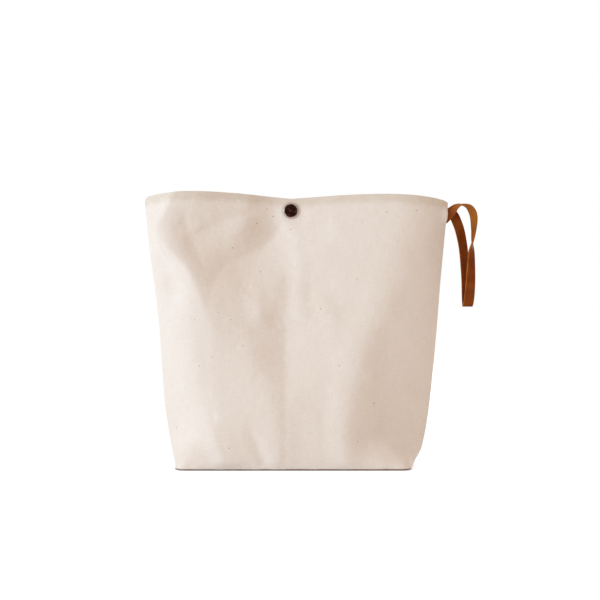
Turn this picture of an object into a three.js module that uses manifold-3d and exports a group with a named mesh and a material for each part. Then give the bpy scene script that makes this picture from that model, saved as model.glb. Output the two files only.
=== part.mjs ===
// A boxed canvas pouch bag, closed at the middle of its mouth by a press stud, with a leather
// wrist loop in its right side seam. Millimetres, +Z up. The origin is the centre of the base's
// underside, +X runs along the bag's length to the loop, and -Y is the front.

import * as THREE from 'three';
import { mergeVertices } from 'three/addons/utils/BufferGeometryUtils.js';
import Module from 'manifold-3d';

const wasm = await Module();
wasm.setup();

// Cloth and the gap left between pieces that touch
const CANVAS = 1.0;
const FIT = 0.3;

// Base: a rectangle of cloth with softly turned corners
const BASE_LENGTH = 230;
const BASE_DEPTH = 84;
const BASE_CORNER_RADIUS = 10;
const BASE_THICKNESS = 1.2;

// Mouth: the rim runs from each side seam to the press stud
const RIM_Z = 266.5;
const LEFT_RIM = { seamX: -147.3, seamRise: 1.4, bow: 27, lift: 8, seamReach: 45, studReach: 66 };
const RIGHT_RIM = { seamX: 154.2, seamRise: -2.6, bow: 17, lift: 10.5, seamReach: 39, studReach: 62 };
const STUD_X = -2.5;
const STUD_DROP = 12;

// Body: above the base each side runs from a flat face slantwise to its seam
const LEFT_BELLY = { faceEnd: -84, bend: 16 };
const RIGHT_BELLY = { faceEnd: 60, bend: 26 };
const BELLY_Z = 35;

// How far each side swells past the straight line from base to rim
const LEFT_SWELL = 4.7;
const RIGHT_SWELL = 10.3;
const FACE_SWELL = 3;
const SWELL_RISE = 0.4;

// The flat seat that the closed stud pulls in both walls, and how far it fades out
const SEAT_HALF_WIDTH = 12;
const SEAT_DEPTH = 24;
const SEAT_FADE = 34;

// Hem, reinforcement and seam allowances
const HEM_HEIGHT = 9;
const PATCH_WIDTH = 22;
const PATCH_HEIGHT = 20;
const PATCH_THICKNESS = 0.8;
const ALLOWANCE_WIDTH = 8;
const ALLOWANCE_HALF_THICKNESS = 0.9;

// Press stud
const CAP_RADIUS = 7.8;
const CAP_RIM_THICKNESS = 1.5;
const CAP_DISH = 0.7;
const STEM_RADIUS = 2.2;
const SOCKET_RADIUS = 6.2;
const SOCKET_THICKNESS = 2.3;
const SOCKET_BORE_RADIUS = 3.2;
const SPRING_RADIUS = 3.9;
const SPRING_WIRE_RADIUS = 0.3;
const SPRING_MOUTH = 0.7;
const STUD_CLEARANCE = 0.5;
const FLANGE_RADIUS = 5.8;
const FLANGE_THICKNESS = 1.0;
const POST_RADIUS = 6;
const POST_THICKNESS = 1.2;

// Wrist loop: one strip of leather folded in half, both ends in the side seam. Its stations are
// in hundredths of its size.
const LEATHER_WIDTH = 10;
const LEATHER = 1.8;
const LOOP_SIZE = 100;
const LOOP_BELOW_RIM = 13.3;
const TAB_HEIGHT = 15.6;
const TAB_REACH = 2.4;

// Grid counts
const FACE_COLUMNS = 8;
const SIDE_COLUMNS = 4;
const CORNER_COLUMNS = 2;
const ALLOWANCE_STEPS = 10;
const LOOP_STEPS = 72;
const STEP = 0.0005;

// Worked out from the sizes above
const LEFT_SEAM_Z = RIM_Z + LEFT_RIM.seamRise;
const RIGHT_SEAM_Z = RIM_Z + RIGHT_RIM.seamRise;
const STUD_Z = RIM_Z - STUD_DROP;
const LOOP_ROOT_Z = RIGHT_SEAM_Z - LOOP_BELOW_RIM;
const PATCH_DEPTH = 2 * (CANVAS + FIT);
const SOCKET_DEPTH = PATCH_DEPTH + PATCH_THICKNESS + FIT;
const STUD_HALF_GAP = SOCKET_DEPTH + (SOCKET_THICKNESS + FIT + FLANGE_THICKNESS) / 2;
const STUD_HOLE_RADIUS = STEM_RADIUS + FIT;

// Side -1 is the front and +1 the back. Place w runs from -1 at the left seam, over 0 at the stud,
// to +1 at the right seam, and v runs from 0 at the base to 1 at the rim.

function smooth(t) {
  const c = Math.min(Math.max(t, 0), 1);
  return c * c * (3 - 2 * c);
}

// The rim reaches its bow, or nearly, a third of the way along the curve from its seam
function rimCurve(rim, seamZ) {
  const inward = Math.sign(STUD_X - rim.seamX);
  const bowHandle = (rim.bow - STUD_HALF_GAP * 7 / 27) * 9 / 4;
  return new THREE.CubicBezierCurve3(
    new THREE.Vector3(rim.seamX, 0, seamZ),
    new THREE.Vector3(rim.seamX + inward * rim.seamReach, bowHandle, seamZ + rim.lift),
    new THREE.Vector3(STUD_X - inward * rim.studReach, STUD_HALF_GAP, RIM_Z),
    new THREE.Vector3(STUD_X, STUD_HALF_GAP, RIM_Z),
  );
}

// From the seam's foot along the end of the base, round its corner, to below the stud
function baseCurve(hand) {
  const x = hand * BASE_LENGTH / 2;
  const y = BASE_DEPTH / 2;
  const r = BASE_CORNER_RADIUS;
  const path = new THREE.CurvePath();
  const at = (px, py) => new THREE.Vector2(px, py);
  path.add(new THREE.LineCurve(at(x, 0), at(x, y - r)));
  const start = hand > 0 ? 0 : Math.PI;
  path.add(new THREE.EllipseCurve(x - hand * r, y - r, r, r, start, Math.PI / 2, hand < 0));
  path.add(new THREE.LineCurve(at(x - hand * r, y), at(STUD_X, y)));
  return path;
}

// From the seam slantwise to the flat face, over a soft bend, to below the stud
function bellyCurve(hand, belly) {
  const at = (px, py) => new THREE.Vector2(px, py);
  const seam = at(hand * BASE_LENGTH / 2, 0);
  const knee = at(belly.faceEnd, BASE_DEPTH / 2);
  const before = seam.clone().sub(knee).setLength(belly.bend).add(knee);
  const after = at(knee.x - hand * belly.bend, knee.y);
  const path = new THREE.CurvePath();
  path.add(new THREE.LineCurve(seam, before));
  path.add(new THREE.QuadraticBezierCurve(before, knee, after));
  path.add(new THREE.LineCurve(after, at(STUD_X, BASE_DEPTH / 2)));
  return path;
}

function half(hand, rim, seamZ, belly, swell) {
  const base = baseCurve(hand);
  const length = base.getLength();
  const arc = Math.PI * BASE_CORNER_RADIUS / 2;
  const cornerStart = (BASE_DEPTH / 2 - BASE_CORNER_RADIUS) / length;
  const cornerEnd = cornerStart + arc / length;
  const curves = { base, belly: bellyCurve(hand, belly), rim: rimCurve(rim, seamZ) };
  return { hand, swell, ...curves, cornerStart, cornerEnd };
}

const LEFT = half(-1, LEFT_RIM, LEFT_SEAM_Z, LEFT_BELLY, LEFT_SWELL);
const RIGHT = half(1, RIGHT_RIM, RIGHT_SEAM_Z, RIGHT_BELLY, RIGHT_SWELL);

function halfAt(w) {
  return w < 0 ? LEFT : RIGHT;
}

function surfacePoint(side, w, v) {
  const part = halfAt(w);
  const u = 1 - Math.min(Math.abs(w), 1);
  const top = part.rim.getPointAt(u);
  const foot = part.base.getPointAt(u).lerp(part.belly.getPointAt(u), smooth(top.z * v / BELLY_Z));
  const swell = Math.sin(Math.PI * v ** SWELL_RISE);
  const towardsEnd = Math.cos(Math.min(u / part.cornerEnd, 1) * Math.PI / 2) ** 2;
  const x = foot.x + (top.x - foot.x) * v + part.hand * part.swell * swell * towardsEnd;
  const z = top.z * v;
  let y = foot.y + (top.y - foot.y) * smooth(v) + FACE_SWELL * swell * (1 - towardsEnd);
  const across = smooth((Math.abs(x - STUD_X) - SEAT_HALF_WIDTH) / SEAT_FADE);
  const down = smooth((top.z - SEAT_DEPTH - z) / SEAT_FADE);
  const seated = (1 - across) * (1 - down);
  y += (STUD_HALF_GAP - y) * seated;
  return new THREE.Vector3(x, side * y, z);
}

// The outward normal, level at the base so that the cloth's lower edge lies flat
function surfaceNormal(side, w, v) {
  const w0 = Math.max(w - STEP, -1);
  const w1 = Math.min(w + STEP, 1);
  const v0 = Math.max(v - STEP, 0.001);
  const v1 = Math.min(v + STEP, 1);
  const along = surfacePoint(side, w1, v).sub(surfacePoint(side, w0, v));
  const up = surfacePoint(side, w, Math.max(v1, v0 + STEP)).sub(surfacePoint(side, w, v0));
  const normal = along.cross(up).multiplyScalar(-side);
  if (v === 0) normal.z = 0;
  return normal.normalize();
}

function ramp(from, to, count) {
  return Array.from({ length: count + 1 }, (_, i) => from + (to - from) * i / count);
}

function flip(list) {
  return list.slice().reverse();
}

// Columns of the front or back wall, between the middles of its two base corners
function faceColumns() {
  const columns = (part) => {
    const middle = (part.cornerStart + part.cornerEnd) / 2;
    const reach = Math.abs(part.rim.getPointAt(0).x - STUD_X);
    const seat = 1 - SEAT_HALF_WIDTH / reach;
    const turn = ramp(middle, part.cornerEnd, CORNER_COLUMNS).slice(0, -1);
    return [...turn, ...ramp(part.cornerEnd, seat, FACE_COLUMNS)].map((u) => 1 - u);
  };
  return [...columns(LEFT).map((d) => -d), 0, ...flip(columns(RIGHT))];
}

// Columns of a side wall, from its seam to the middle of the base corner
function sideColumns(part) {
  const middle = (part.cornerStart + part.cornerEnd) / 2;
  const turn = ramp(part.cornerStart, middle, CORNER_COLUMNS).slice(1);
  return [...ramp(0, part.cornerStart, SIDE_COLUMNS), ...turn].map((u) => part.hand * (1 - u));
}

const WALL_ROWS = [0, 0.015, 0.04, 0.08, 0.13, 0.2, 0.31, 0.4, 0.5, 0.6, 0.7,
  1 - (SEAT_DEPTH + SEAT_FADE) / RIM_Z, 1 - SEAT_DEPTH / RIM_Z,
  1 - HEM_HEIGHT / RIM_Z, 1].sort((a, b) => a - b);
const HEM_ROWS = [1 - HEM_HEIGHT / RIM_Z, 1];

// A closed sheet between two depths under the outer surface
function clothSheet(side, columns, rows, outer, inner) {
  const positions = [];
  for (const depth of [outer, inner]) {
    for (const w of columns) {
      for (const v of rows) {
        const p = surfacePoint(side, w, v).addScaledVector(surfaceNormal(side, w, v), -depth);
        positions.push(p.x, p.y, p.z);
      }
    }
  }
  const nu = columns.length;
  const nv = rows.length;
  const rising = columns[nu - 1] > columns[0];
  const turned = (side < 0) !== rising;
  const faces = [];
  const quad = (a, b, c, d) => faces.push(...(turned ? [a, c, b, a, d, c] : [a, b, c, a, c, d]));
  const id = (layer, i, j) => (layer * nu + i) * nv + j;
  for (let i = 0; i < nu - 1; i += 1) {
    for (let j = 0; j < nv - 1; j += 1) {
      quad(id(0, i, j), id(0, i + 1, j), id(0, i + 1, j + 1), id(0, i, j + 1));
      quad(id(1, i, j), id(1, i, j + 1), id(1, i + 1, j + 1), id(1, i + 1, j));
    }
    quad(id(0, i, 0), id(1, i, 0), id(1, i + 1, 0), id(0, i + 1, 0));
    quad(id(0, i, nv - 1), id(0, i + 1, nv - 1), id(1, i + 1, nv - 1), id(1, i, nv - 1));
  }
  for (let j = 0; j < nv - 1; j += 1) {
    quad(id(0, 0, j), id(0, 0, j + 1), id(1, 0, j + 1), id(1, 0, j));
    quad(id(0, nu - 1, j), id(1, nu - 1, j), id(1, nu - 1, j + 1), id(0, nu - 1, j + 1));
  }
  const geometry = new THREE.BufferGeometry();
  geometry.setAttribute('position', new THREE.Float32BufferAttribute(positions, 3));
  geometry.setIndex(faces);
  return geometry;
}

function toSolid(geometry) {
  const bare = geometry.clone();
  bare.deleteAttribute('normal');
  bare.deleteAttribute('uv');
  const merged = mergeVertices(bare, 1e-4);
  const vertProperties = new Float32Array(merged.attributes.position.array);
  const triVerts = new Uint32Array(merged.index.array);
  return new wasm.Manifold(new wasm.Mesh({ numProp: 3, vertProperties, triVerts }));
}

function toGeometry(solid) {
  const mesh = solid.getMesh();
  const geometry = new THREE.BufferGeometry();
  geometry.setAttribute('position', new THREE.BufferAttribute(mesh.vertProperties, 3));
  geometry.setIndex(new THREE.BufferAttribute(mesh.triVerts, 1));
  return geometry;
}

function block(x0, x1, y0, y1, z0, z1) {
  const box = new THREE.BoxGeometry(x1 - x0, y1 - y0, z1 - z0);
  return box.translate((x0 + x1) / 2, (y0 + y1) / 2, (z0 + z1) / 2);
}

// Everything on one side of the plane y = side * from, large enough for the whole bag
function sideSpace(side, from) {
  const reach = 2 * BASE_LENGTH;
  const near = side * from;
  const far = side * reach;
  return toSolid(block(-reach, reach, Math.min(near, far), Math.max(near, far), -reach, reach));
}

// A round hole for the stud's stem, along Y through front and back alike
function studHole() {
  const hole = new THREE.CylinderGeometry(STUD_HOLE_RADIUS, STUD_HOLE_RADIUS, BASE_DEPTH, 20);
  return toSolid(hole.translate(STUD_X, 0, STUD_Z));
}

// A closed body through rings of corners, each ring seen the same way round
function loft(rings) {
  const count = rings[0].length;
  const positions = rings.flat().flatMap((p) => [p.x, p.y, p.z]);
  const faces = [];
  for (let i = 0; i < rings.length - 1; i += 1) {
    for (let j = 0; j < count; j += 1) {
      const a = i * count + j;
      const b = i * count + (j + 1) % count;
      faces.push(a, b, b + count, a, b + count, a + count);
    }
  }
  const last = (rings.length - 1) * count;
  for (let j = 1; j < count - 1; j += 1) {
    faces.push(0, j + 1, j, last, last + j, last + j + 1);
  }
  const geometry = new THREE.BufferGeometry();
  geometry.setAttribute('position', new THREE.Float32BufferAttribute(positions, 3));
  geometry.setIndex(faces);
  return outward(geometry);
}

// Turns a closed geometry's faces round if they point in
function outward(geometry) {
  const p = geometry.attributes.position;
  const index = geometry.index;
  const corner = (i) => new THREE.Vector3().fromBufferAttribute(p, index.getX(i));
  let volume = 0;
  for (let i = 0; i < index.count; i += 3) {
    volume += corner(i).dot(corner(i + 1).cross(corner(i + 2)));
  }
  if (volume < 0) {
    const turned = Array.from(index.array);
    for (let i = 0; i < turned.length; i += 3) {
      [turned[i + 1], turned[i + 2]] = [turned[i + 2], turned[i + 1]];
    }
    geometry.setIndex(turned);
  }
  return geometry;
}

// A turned piece on the stud's axis: profile points are [radius, y], from axis to axis or closed
function turned(profile, steps) {
  const points = profile.map(([r, y]) => new THREE.Vector2(r, y));
  const lathe = new THREE.LatheGeometry(points, steps);
  lathe.deleteAttribute('normal');
  lathe.deleteAttribute('uv');
  const merged = mergeVertices(lathe, 1e-4);
  const kept = [];
  const index = merged.index.array;
  for (let i = 0; i < index.length; i += 3) {
    const [a, b, c] = [index[i], index[i + 1], index[i + 2]];
    if (a !== b && b !== c && c !== a) kept.push(a, b, c);
  }
  merged.setIndex(kept);
  return outward(merged).translate(STUD_X, 0, STUD_Z);
}

const MATERIALS = {
  canvas: new THREE.MeshStandardMaterial({ color: 0xe6dad0, roughness: 0.92, metalness: 0 }),
  lining: new THREE.MeshStandardMaterial({ color: 0xddcfc2, roughness: 0.94, metalness: 0 }),
  leather: new THREE.MeshStandardMaterial({ color: 0x7a3c14, roughness: 0.55, metalness: 0 }),
  metal: new THREE.MeshStandardMaterial({ color: 0x2e1a14, roughness: 0.35, metalness: 0.9 }),
  spring: new THREE.MeshStandardMaterial({ color: 0x8f8a84, roughness: 0.3, metalness: 1 }),
};

const bag = new THREE.Group();
bag.name = 'pouch_bag';

function add(name, geometry, material) {
  const mesh = new THREE.Mesh(geometry, material);
  mesh.name = name;
  bag.add(mesh);
}

// Front and back walls, each with its hem band and the patch behind the stud
function addFace(side, label) {
  const columns = faceColumns();
  const hole = studHole();
  columns[0] += FIT / 2 / LEFT.base.getLength();
  columns[columns.length - 1] -= FIT / 2 / RIGHT.base.getLength();
  const wall = toSolid(clothSheet(side, columns, WALL_ROWS, 0, CANVAS));
  add(`${label}_wall`, toGeometry(wall.subtract(hole)), MATERIALS.canvas);
  const hem = toSolid(clothSheet(side, columns, HEM_ROWS, CANVAS + FIT, PATCH_DEPTH - FIT));
  add(`${label}_hem`, toGeometry(hem.subtract(hole)), MATERIALS.lining);
  const face = side * (STUD_HALF_GAP - PATCH_DEPTH);
  const under = face - side * PATCH_THICKNESS;
  const patch = toSolid(block(STUD_X - PATCH_WIDTH / 2, STUD_X + PATCH_WIDTH / 2,
    Math.min(face, under), Math.max(face, under),
    STUD_Z - PATCH_HEIGHT / 2, STUD_Z + PATCH_HEIGHT / 2));
  add(`${label}_stud_patch`, toGeometry(patch.subtract(hole)), MATERIALS.lining);
}

// A boxed end of the bag: its front and back halves meet at the side seam
function addEnd(part, label) {
  const columns = sideColumns(part);
  columns[columns.length - 1] += part.hand * FIT / 2 / part.base.getLength();
  const bands = [];
  for (const [side, name] of [[-1, 'front'], [1, 'back']]) {
    const sheet = toSolid(clothSheet(side, columns, WALL_ROWS, 0, CANVAS));
    const trimmed = sheet.intersect(sideSpace(side, FIT / 2));
    add(`${label}_end_${name}`, toGeometry(trimmed), MATERIALS.canvas);
    const band = toSolid(clothSheet(side, columns, HEM_ROWS, CANVAS + FIT, PATCH_DEPTH - FIT));
    bands.push(band.intersect(sideSpace(side, 0)));
  }
  add(`${label}_hem`, toGeometry(bands[0].add(bands[1])), MATERIALS.lining);
}

// The two layers of cloth that stand inside the side seam, as near to it as the walls let them
function addSeamAllowance(part, label) {
  const low = (BASE_THICKNESS + 2 * CANVAS + 2 * FIT) / RIM_Z;
  const high = 1 - (HEM_HEIGHT + FIT) / Math.min(RIM_Z, part.rim.getPointAt(0).z);
  const halfThickness = ALLOWANCE_HALF_THICKNESS;
  const nextColumn = sideColumns(part)[1];
  const rings = ramp(low, high, ALLOWANCE_STEPS).map((v) => {
    const seam = surfacePoint(-1, part.hand, v);
    const beside = surfacePoint(-1, nextColumn, v).sub(seam);
    const span = Math.hypot(beside.x, beside.y);
    const sine = Math.abs(beside.y) / span;
    const cosine = Math.abs(beside.x) / span;
    const slope = surfaceNormal(-1, part.hand, v);
    const wall = (CANVAS + FIT) / Math.hypot(slope.x, slope.y);
    const inset = (wall + (halfThickness + FIT) * cosine) / sine;
    const outer = seam.x - part.hand * inset;
    const inner = outer - part.hand * ALLOWANCE_WIDTH;
    return [[outer, -halfThickness], [inner, -halfThickness],
      [inner, halfThickness], [outer, halfThickness]]
      .map(([x, y]) => new THREE.Vector3(x, y, seam.z));
  });
  add(`${label}_seam_allowance`, loft(rings), MATERIALS.lining);
}

// The base, and the allowance of the short seam across each of its ends
function addBase() {
  const x = BASE_LENGTH / 2 - CANVAS - FIT;
  const y = BASE_DEPTH / 2 - CANVAS - FIT;
  const r = BASE_CORNER_RADIUS - CANVAS - FIT;
  const outline = new THREE.Shape();
  outline.moveTo(-x + r, -y);
  outline.absarc(x - r, -y + r, r, -Math.PI / 2, 0);
  outline.absarc(x - r, y - r, r, 0, Math.PI / 2);
  outline.absarc(-x + r, y - r, r, Math.PI / 2, Math.PI);
  outline.absarc(-x + r, -y + r, r, Math.PI, 1.5 * Math.PI);
  const panel = new THREE.ExtrudeGeometry(outline, {
    depth: BASE_THICKNESS, bevelEnabled: false, curveSegments: 2 * CORNER_COLUMNS,
  });
  add('base_panel', toGeometry(toSolid(panel)), MATERIALS.canvas);
  const low = BASE_THICKNESS + FIT;
  const reach = y - r;
  const seam = (from) => block(from, from + ALLOWANCE_WIDTH, -reach, reach, low, low + 2 * CANVAS);
  add('left_corner_seam', seam(-x), MATERIALS.lining);
  add('right_corner_seam', seam(x - ALLOWANCE_WIDTH), MATERIALS.lining);
}

// The press stud: cap, socket and spring on the front wall, stud and post on the back wall
function addStud() {
  const face = STUD_HALF_GAP + FIT;
  const crest = face + CAP_RIM_THICKNESS;
  const dish = crest - CAP_DISH;
  const bend = CAP_RIM_THICKNESS / 2;
  const socketOut = STUD_HALF_GAP - SOCKET_DEPTH;
  const socketIn = socketOut - SOCKET_THICKNESS;
  const stemEnd = socketOut - FIT;
  const tip = stemEnd - FIT;
  add('snap_cap', turned([
    [0, -dish], [CAP_RADIUS - 3 * bend, -dish], [CAP_RADIUS - 2 * bend, -crest],
    [CAP_RADIUS - bend, -crest], [CAP_RADIUS, -face - bend], [CAP_RADIUS - FIT, -face],
    [STEM_RADIUS, -face], [STEM_RADIUS, -stemEnd], [0, -stemEnd],
  ], 32), MATERIALS.metal);
  const middle = (socketOut + socketIn) / 2;
  const groove = SPRING_WIRE_RADIUS + STUD_CLEARANCE / 2;
  const bore = SOCKET_BORE_RADIUS;
  add('snap_socket', turned([
    [bore, -socketOut], [SOCKET_RADIUS, -socketOut], [SOCKET_RADIUS, -middle],
    [SOCKET_RADIUS - FIT, -socketIn], [bore, -socketIn], [bore, -middle + groove],
    [SPRING_RADIUS + groove, -middle + groove], [SPRING_RADIUS + groove, -middle - groove],
    [bore, -middle - groove], [bore, -socketOut],
  ], 28), MATERIALS.metal);
  const arc = ramp(SPRING_MOUTH / 2, 2 * Math.PI - SPRING_MOUTH / 2, 16).map((a) =>
    new THREE.Vector3(SPRING_RADIUS * Math.sin(a), 0, -SPRING_RADIUS * Math.cos(a)));
  const wire = new THREE.Shape();
  wire.absarc(0, 0, SPRING_WIRE_RADIUS, 0, 2 * Math.PI);
  const spring = new THREE.ExtrudeGeometry(wire, {
    steps: 28, curveSegments: 3, bevelEnabled: false, extrudePath: new THREE.CatmullRomCurve3(arc),
  });
  add('snap_spring', toGeometry(toSolid(spring.translate(STUD_X, -middle, STUD_Z))),
    MATERIALS.spring);
  const head = SOCKET_BORE_RADIUS - STUD_CLEARANCE;
  const flange = -socketIn + FIT;
  add('snap_stud', turned([
    [0, -tip], [head - FIT, -tip], [head, -tip + 2 * FIT], [STEM_RADIUS, flange - FIT],
    [FLANGE_RADIUS, flange], [FLANGE_RADIUS, flange + FLANGE_THICKNESS],
    [0, flange + FLANGE_THICKNESS],
  ], 28), MATERIALS.metal);
  add('snap_post', turned([
    [0, flange + FLANGE_THICKNESS + FIT], [STEM_RADIUS, flange + FLANGE_THICKNESS + FIT],
    [STEM_RADIUS, face], [POST_RADIUS, face], [POST_RADIUS, face + POST_THICKNESS / 2],
    [POST_RADIUS - POST_THICKNESS / 2, face + POST_THICKNESS], [0, face + POST_THICKNESS],
  ], 28), MATERIALS.metal);
}

// How far out the stacked ends of the leather strip reach
function loopRootReach() {
  const top = (LOOP_ROOT_Z + TAB_HEIGHT / 2) / RIGHT_SEAM_Z;
  return surfacePoint(-1, 1, top).x + FIT + TAB_REACH;
}

// The stacked ends of the leather strip where the side seam holds them
function addLoopRoot() {
  const outer = loopRootReach();
  const rings = ramp(LOOP_ROOT_Z - TAB_HEIGHT / 2, LOOP_ROOT_Z + TAB_HEIGHT / 2, 3).map((z) => {
    const inner = surfacePoint(-1, 1, z / RIGHT_SEAM_Z).x + FIT;
    const y = LEATHER + FIT / 2;
    return [[inner, -y], [outer, -y], [outer, y], [inner, y]]
      .map(([px, py]) => new THREE.Vector3(px, py, z));
  });
  add('loop_root', loft(rings), MATERIALS.leather);
}

// The loop's strip. Each station is a point on its middle line, from its root on, and the way its
// width runs there.
const STRAND = (LEATHER + FIT) / 2 / LOOP_SIZE * 100;
const LOOP_STATIONS = [
  { at: [0, -STRAND, 1.7], width: [0, 0, -1] },
  { at: [2, -STRAND, 1.9], width: [0.1, -0.05, -1] },
  { at: [4.6, -1.3, 3.8], width: [0.45, -0.35, -0.8] },
  { at: [7.6, -1.9, 7], width: [0.5, -0.7, -0.5] },
  { at: [11.5, -3.2, 9.6], width: [0.15, -0.95, -0.2] },
  { at: [16, -4.4, 9.2], width: [0.05, -1, 0.1] },
  { at: [20.6, -5.2, 6.2], width: [0.35, -0.9, 0.3] },
  { at: [24, -5.8, 0.9], width: [0.55, -0.8, 0.15] },
  { at: [25.2, -6.2, -6.1], width: [0.5, -0.87, 0] },
  { at: [24.6, -6.3, -16.1], width: [0.25, -0.97, 0] },
  { at: [23.1, -6.2, -27.1], width: [0, -1, 0] },
  { at: [21.6, -5.9, -38.1], width: [-0.4, -0.92, 0] },
  { at: [20.0, -5.4, -54.6], width: [-0.75, -0.66, 0] },
  { at: [19.0, -4.4, -72.6], width: [-0.95, -0.3, 0] },
  { at: [18.8, -3.0, -84.6], width: [-1, 0, 0] },
  { at: [18.8, -1.6, -89.4], width: [-1, 0, 0] },
  { at: [18.8, 0.6, -90.8], width: [-1, 0, 0] },
  { at: [18.7, 2.4, -89.2], width: [-1, 0, 0] },
  { at: [18.4, 3.6, -82.6], width: [-1, 0, 0] },
  { at: [17.6, 4.6, -66.6], width: [-1, 0, 0] },
  { at: [16.2, 4.8, -48.6], width: [-1, 0, -0.05] },
  { at: [14.2, 4.4, -31.6], width: [-0.98, 0, -0.16] },
  { at: [11.0, 3.4, -16.6], width: [-0.92, 0, -0.36] },
  { at: [7.4, 2.2, -7.2], width: [-0.75, 0, -0.66] },
  { at: [4.6, 1.4, -3.5], width: [-0.5, 0, -0.87] },
  { at: [2, STRAND, -1.9], width: [-0.1, 0, -1] },
  { at: [0, STRAND, -1.7], width: [0, 0, -1] },
];

function addLoop() {
  const start = loopRootReach() + FIT;
  const root = new THREE.Vector3(start, 0, LOOP_ROOT_Z);
  const place = (at) => new THREE.Vector3(...at).multiplyScalar(LOOP_SIZE / 100).add(root);
  const centre = new THREE.CatmullRomCurve3(LOOP_STATIONS.map((s) => place(s.at)));
  const width = new THREE.CatmullRomCurve3(
    LOOP_STATIONS.map((s) => new THREE.Vector3(...s.width).normalize()),
  );
  const rings = ramp(0, 1, LOOP_STEPS).map((t) => {
    const ends = t === 0 ? 1 : -1;
    const along = t === 0 || t === 1 ? new THREE.Vector3(ends, 0, 0) : centre.getTangent(t);
    const across = width.getPoint(t);
    across.addScaledVector(along, -across.dot(along)).normalize();
    const through = along.clone().cross(across);
    const corner = (a, b) => centre.getPoint(t)
      .addScaledVector(across, a * LEATHER_WIDTH / 2).addScaledVector(through, b * LEATHER / 2);
    return [corner(-1, -1), corner(1, -1), corner(1, 1), corner(-1, 1)];
  });
  add('wrist_loop', loft(rings), MATERIALS.leather);
}

addFace(-1, 'front');
addFace(1, 'back');
addEnd(LEFT, 'left');
addEnd(RIGHT, 'right');
addSeamAllowance(LEFT, 'left');
addSeamAllowance(RIGHT, 'right');
addBase();
addStud();
addLoopRoot();
addLoop();

export default bag;
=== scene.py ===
# %% [markdown]
# A boxed canvas pouch with a press stud and a leather wrist loop.
# The frame below holds the bag's construction at its real size: its walls, stud and loop as plain
# solids that already move on their hinges. This lesson dresses them, so it only adds what the eye
# sees: cloth with folds and weave, stitches, turned metal and a strip of leather.
# Lengths are written in millimetres, because a bag maker thinks in them, and become metres where
# a mesh is made.

# %% Load the frame
import math

import bpy
import numpy as np
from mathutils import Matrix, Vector, noise


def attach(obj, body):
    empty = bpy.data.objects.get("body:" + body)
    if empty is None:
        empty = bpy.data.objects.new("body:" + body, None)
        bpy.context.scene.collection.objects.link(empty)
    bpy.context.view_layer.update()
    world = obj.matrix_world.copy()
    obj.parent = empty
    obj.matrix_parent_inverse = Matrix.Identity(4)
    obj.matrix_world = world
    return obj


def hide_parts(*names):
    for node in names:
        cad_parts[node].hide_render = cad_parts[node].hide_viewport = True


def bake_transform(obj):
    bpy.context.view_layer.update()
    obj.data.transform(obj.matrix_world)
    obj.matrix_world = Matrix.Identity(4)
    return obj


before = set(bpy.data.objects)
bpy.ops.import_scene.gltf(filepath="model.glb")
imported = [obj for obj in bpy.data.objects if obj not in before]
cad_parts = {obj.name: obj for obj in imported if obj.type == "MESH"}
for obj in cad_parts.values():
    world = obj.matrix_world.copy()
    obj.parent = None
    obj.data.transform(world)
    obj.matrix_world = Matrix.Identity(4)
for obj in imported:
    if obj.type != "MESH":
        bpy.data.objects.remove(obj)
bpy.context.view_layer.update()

MM = 0.001

# %% [markdown]
# The camera stands where the photographer's did: level, a little above the bag's middle, and so
# far away that the sides hardly narrow. With an 84 mm lens on a 36 mm sensor, 1.4 m away, the
# square picture is 600 mm wide at the bag's middle, so a millimetre there is about a pixel.

# %% Camera
LENS, SENSOR = 84, 36
CAMERA_PLACE = (6.5, -1400, 165.6)

lens = bpy.data.cameras.new("camera")
lens.lens, lens.sensor_width = LENS, SENSOR
camera = bpy.data.objects.new("camera", lens)
camera.location = Vector(CAMERA_PLACE) * MM
camera.rotation_euler = (math.pi / 2, 0, 0)
bpy.context.scene.collection.objects.link(camera)
bpy.context.scene.camera = camera
bpy.context.scene.view_settings.view_transform = "Standard"
print("width seen at the bag:", round(SENSOR / LENS * -CAMERA_PLACE[1]), "mm")

# %% [markdown]
# Every finish here is a small network of nodes. Writing them as Python sums keeps them readable:
# a Wire holds one socket, and +, -, * and / on wires add the node that does the sum. Numbers go
# through Math nodes, vectors through Vector Math and colours through Mix, because a Math node
# would turn a colour grey. Every other node comes from Wire.node.

# %% Shader sums
SIGNS = {"+": "ADD", "-": "SUBTRACT", "*": "MULTIPLY", "/": "DIVIDE"}


def as_vector(value):
    return (value,) * 3 if isinstance(value, (int, float)) else value


def as_colour(value):
    if isinstance(value, Wire):
        return value
    return (*as_vector(value), 1)[:4]


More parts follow.
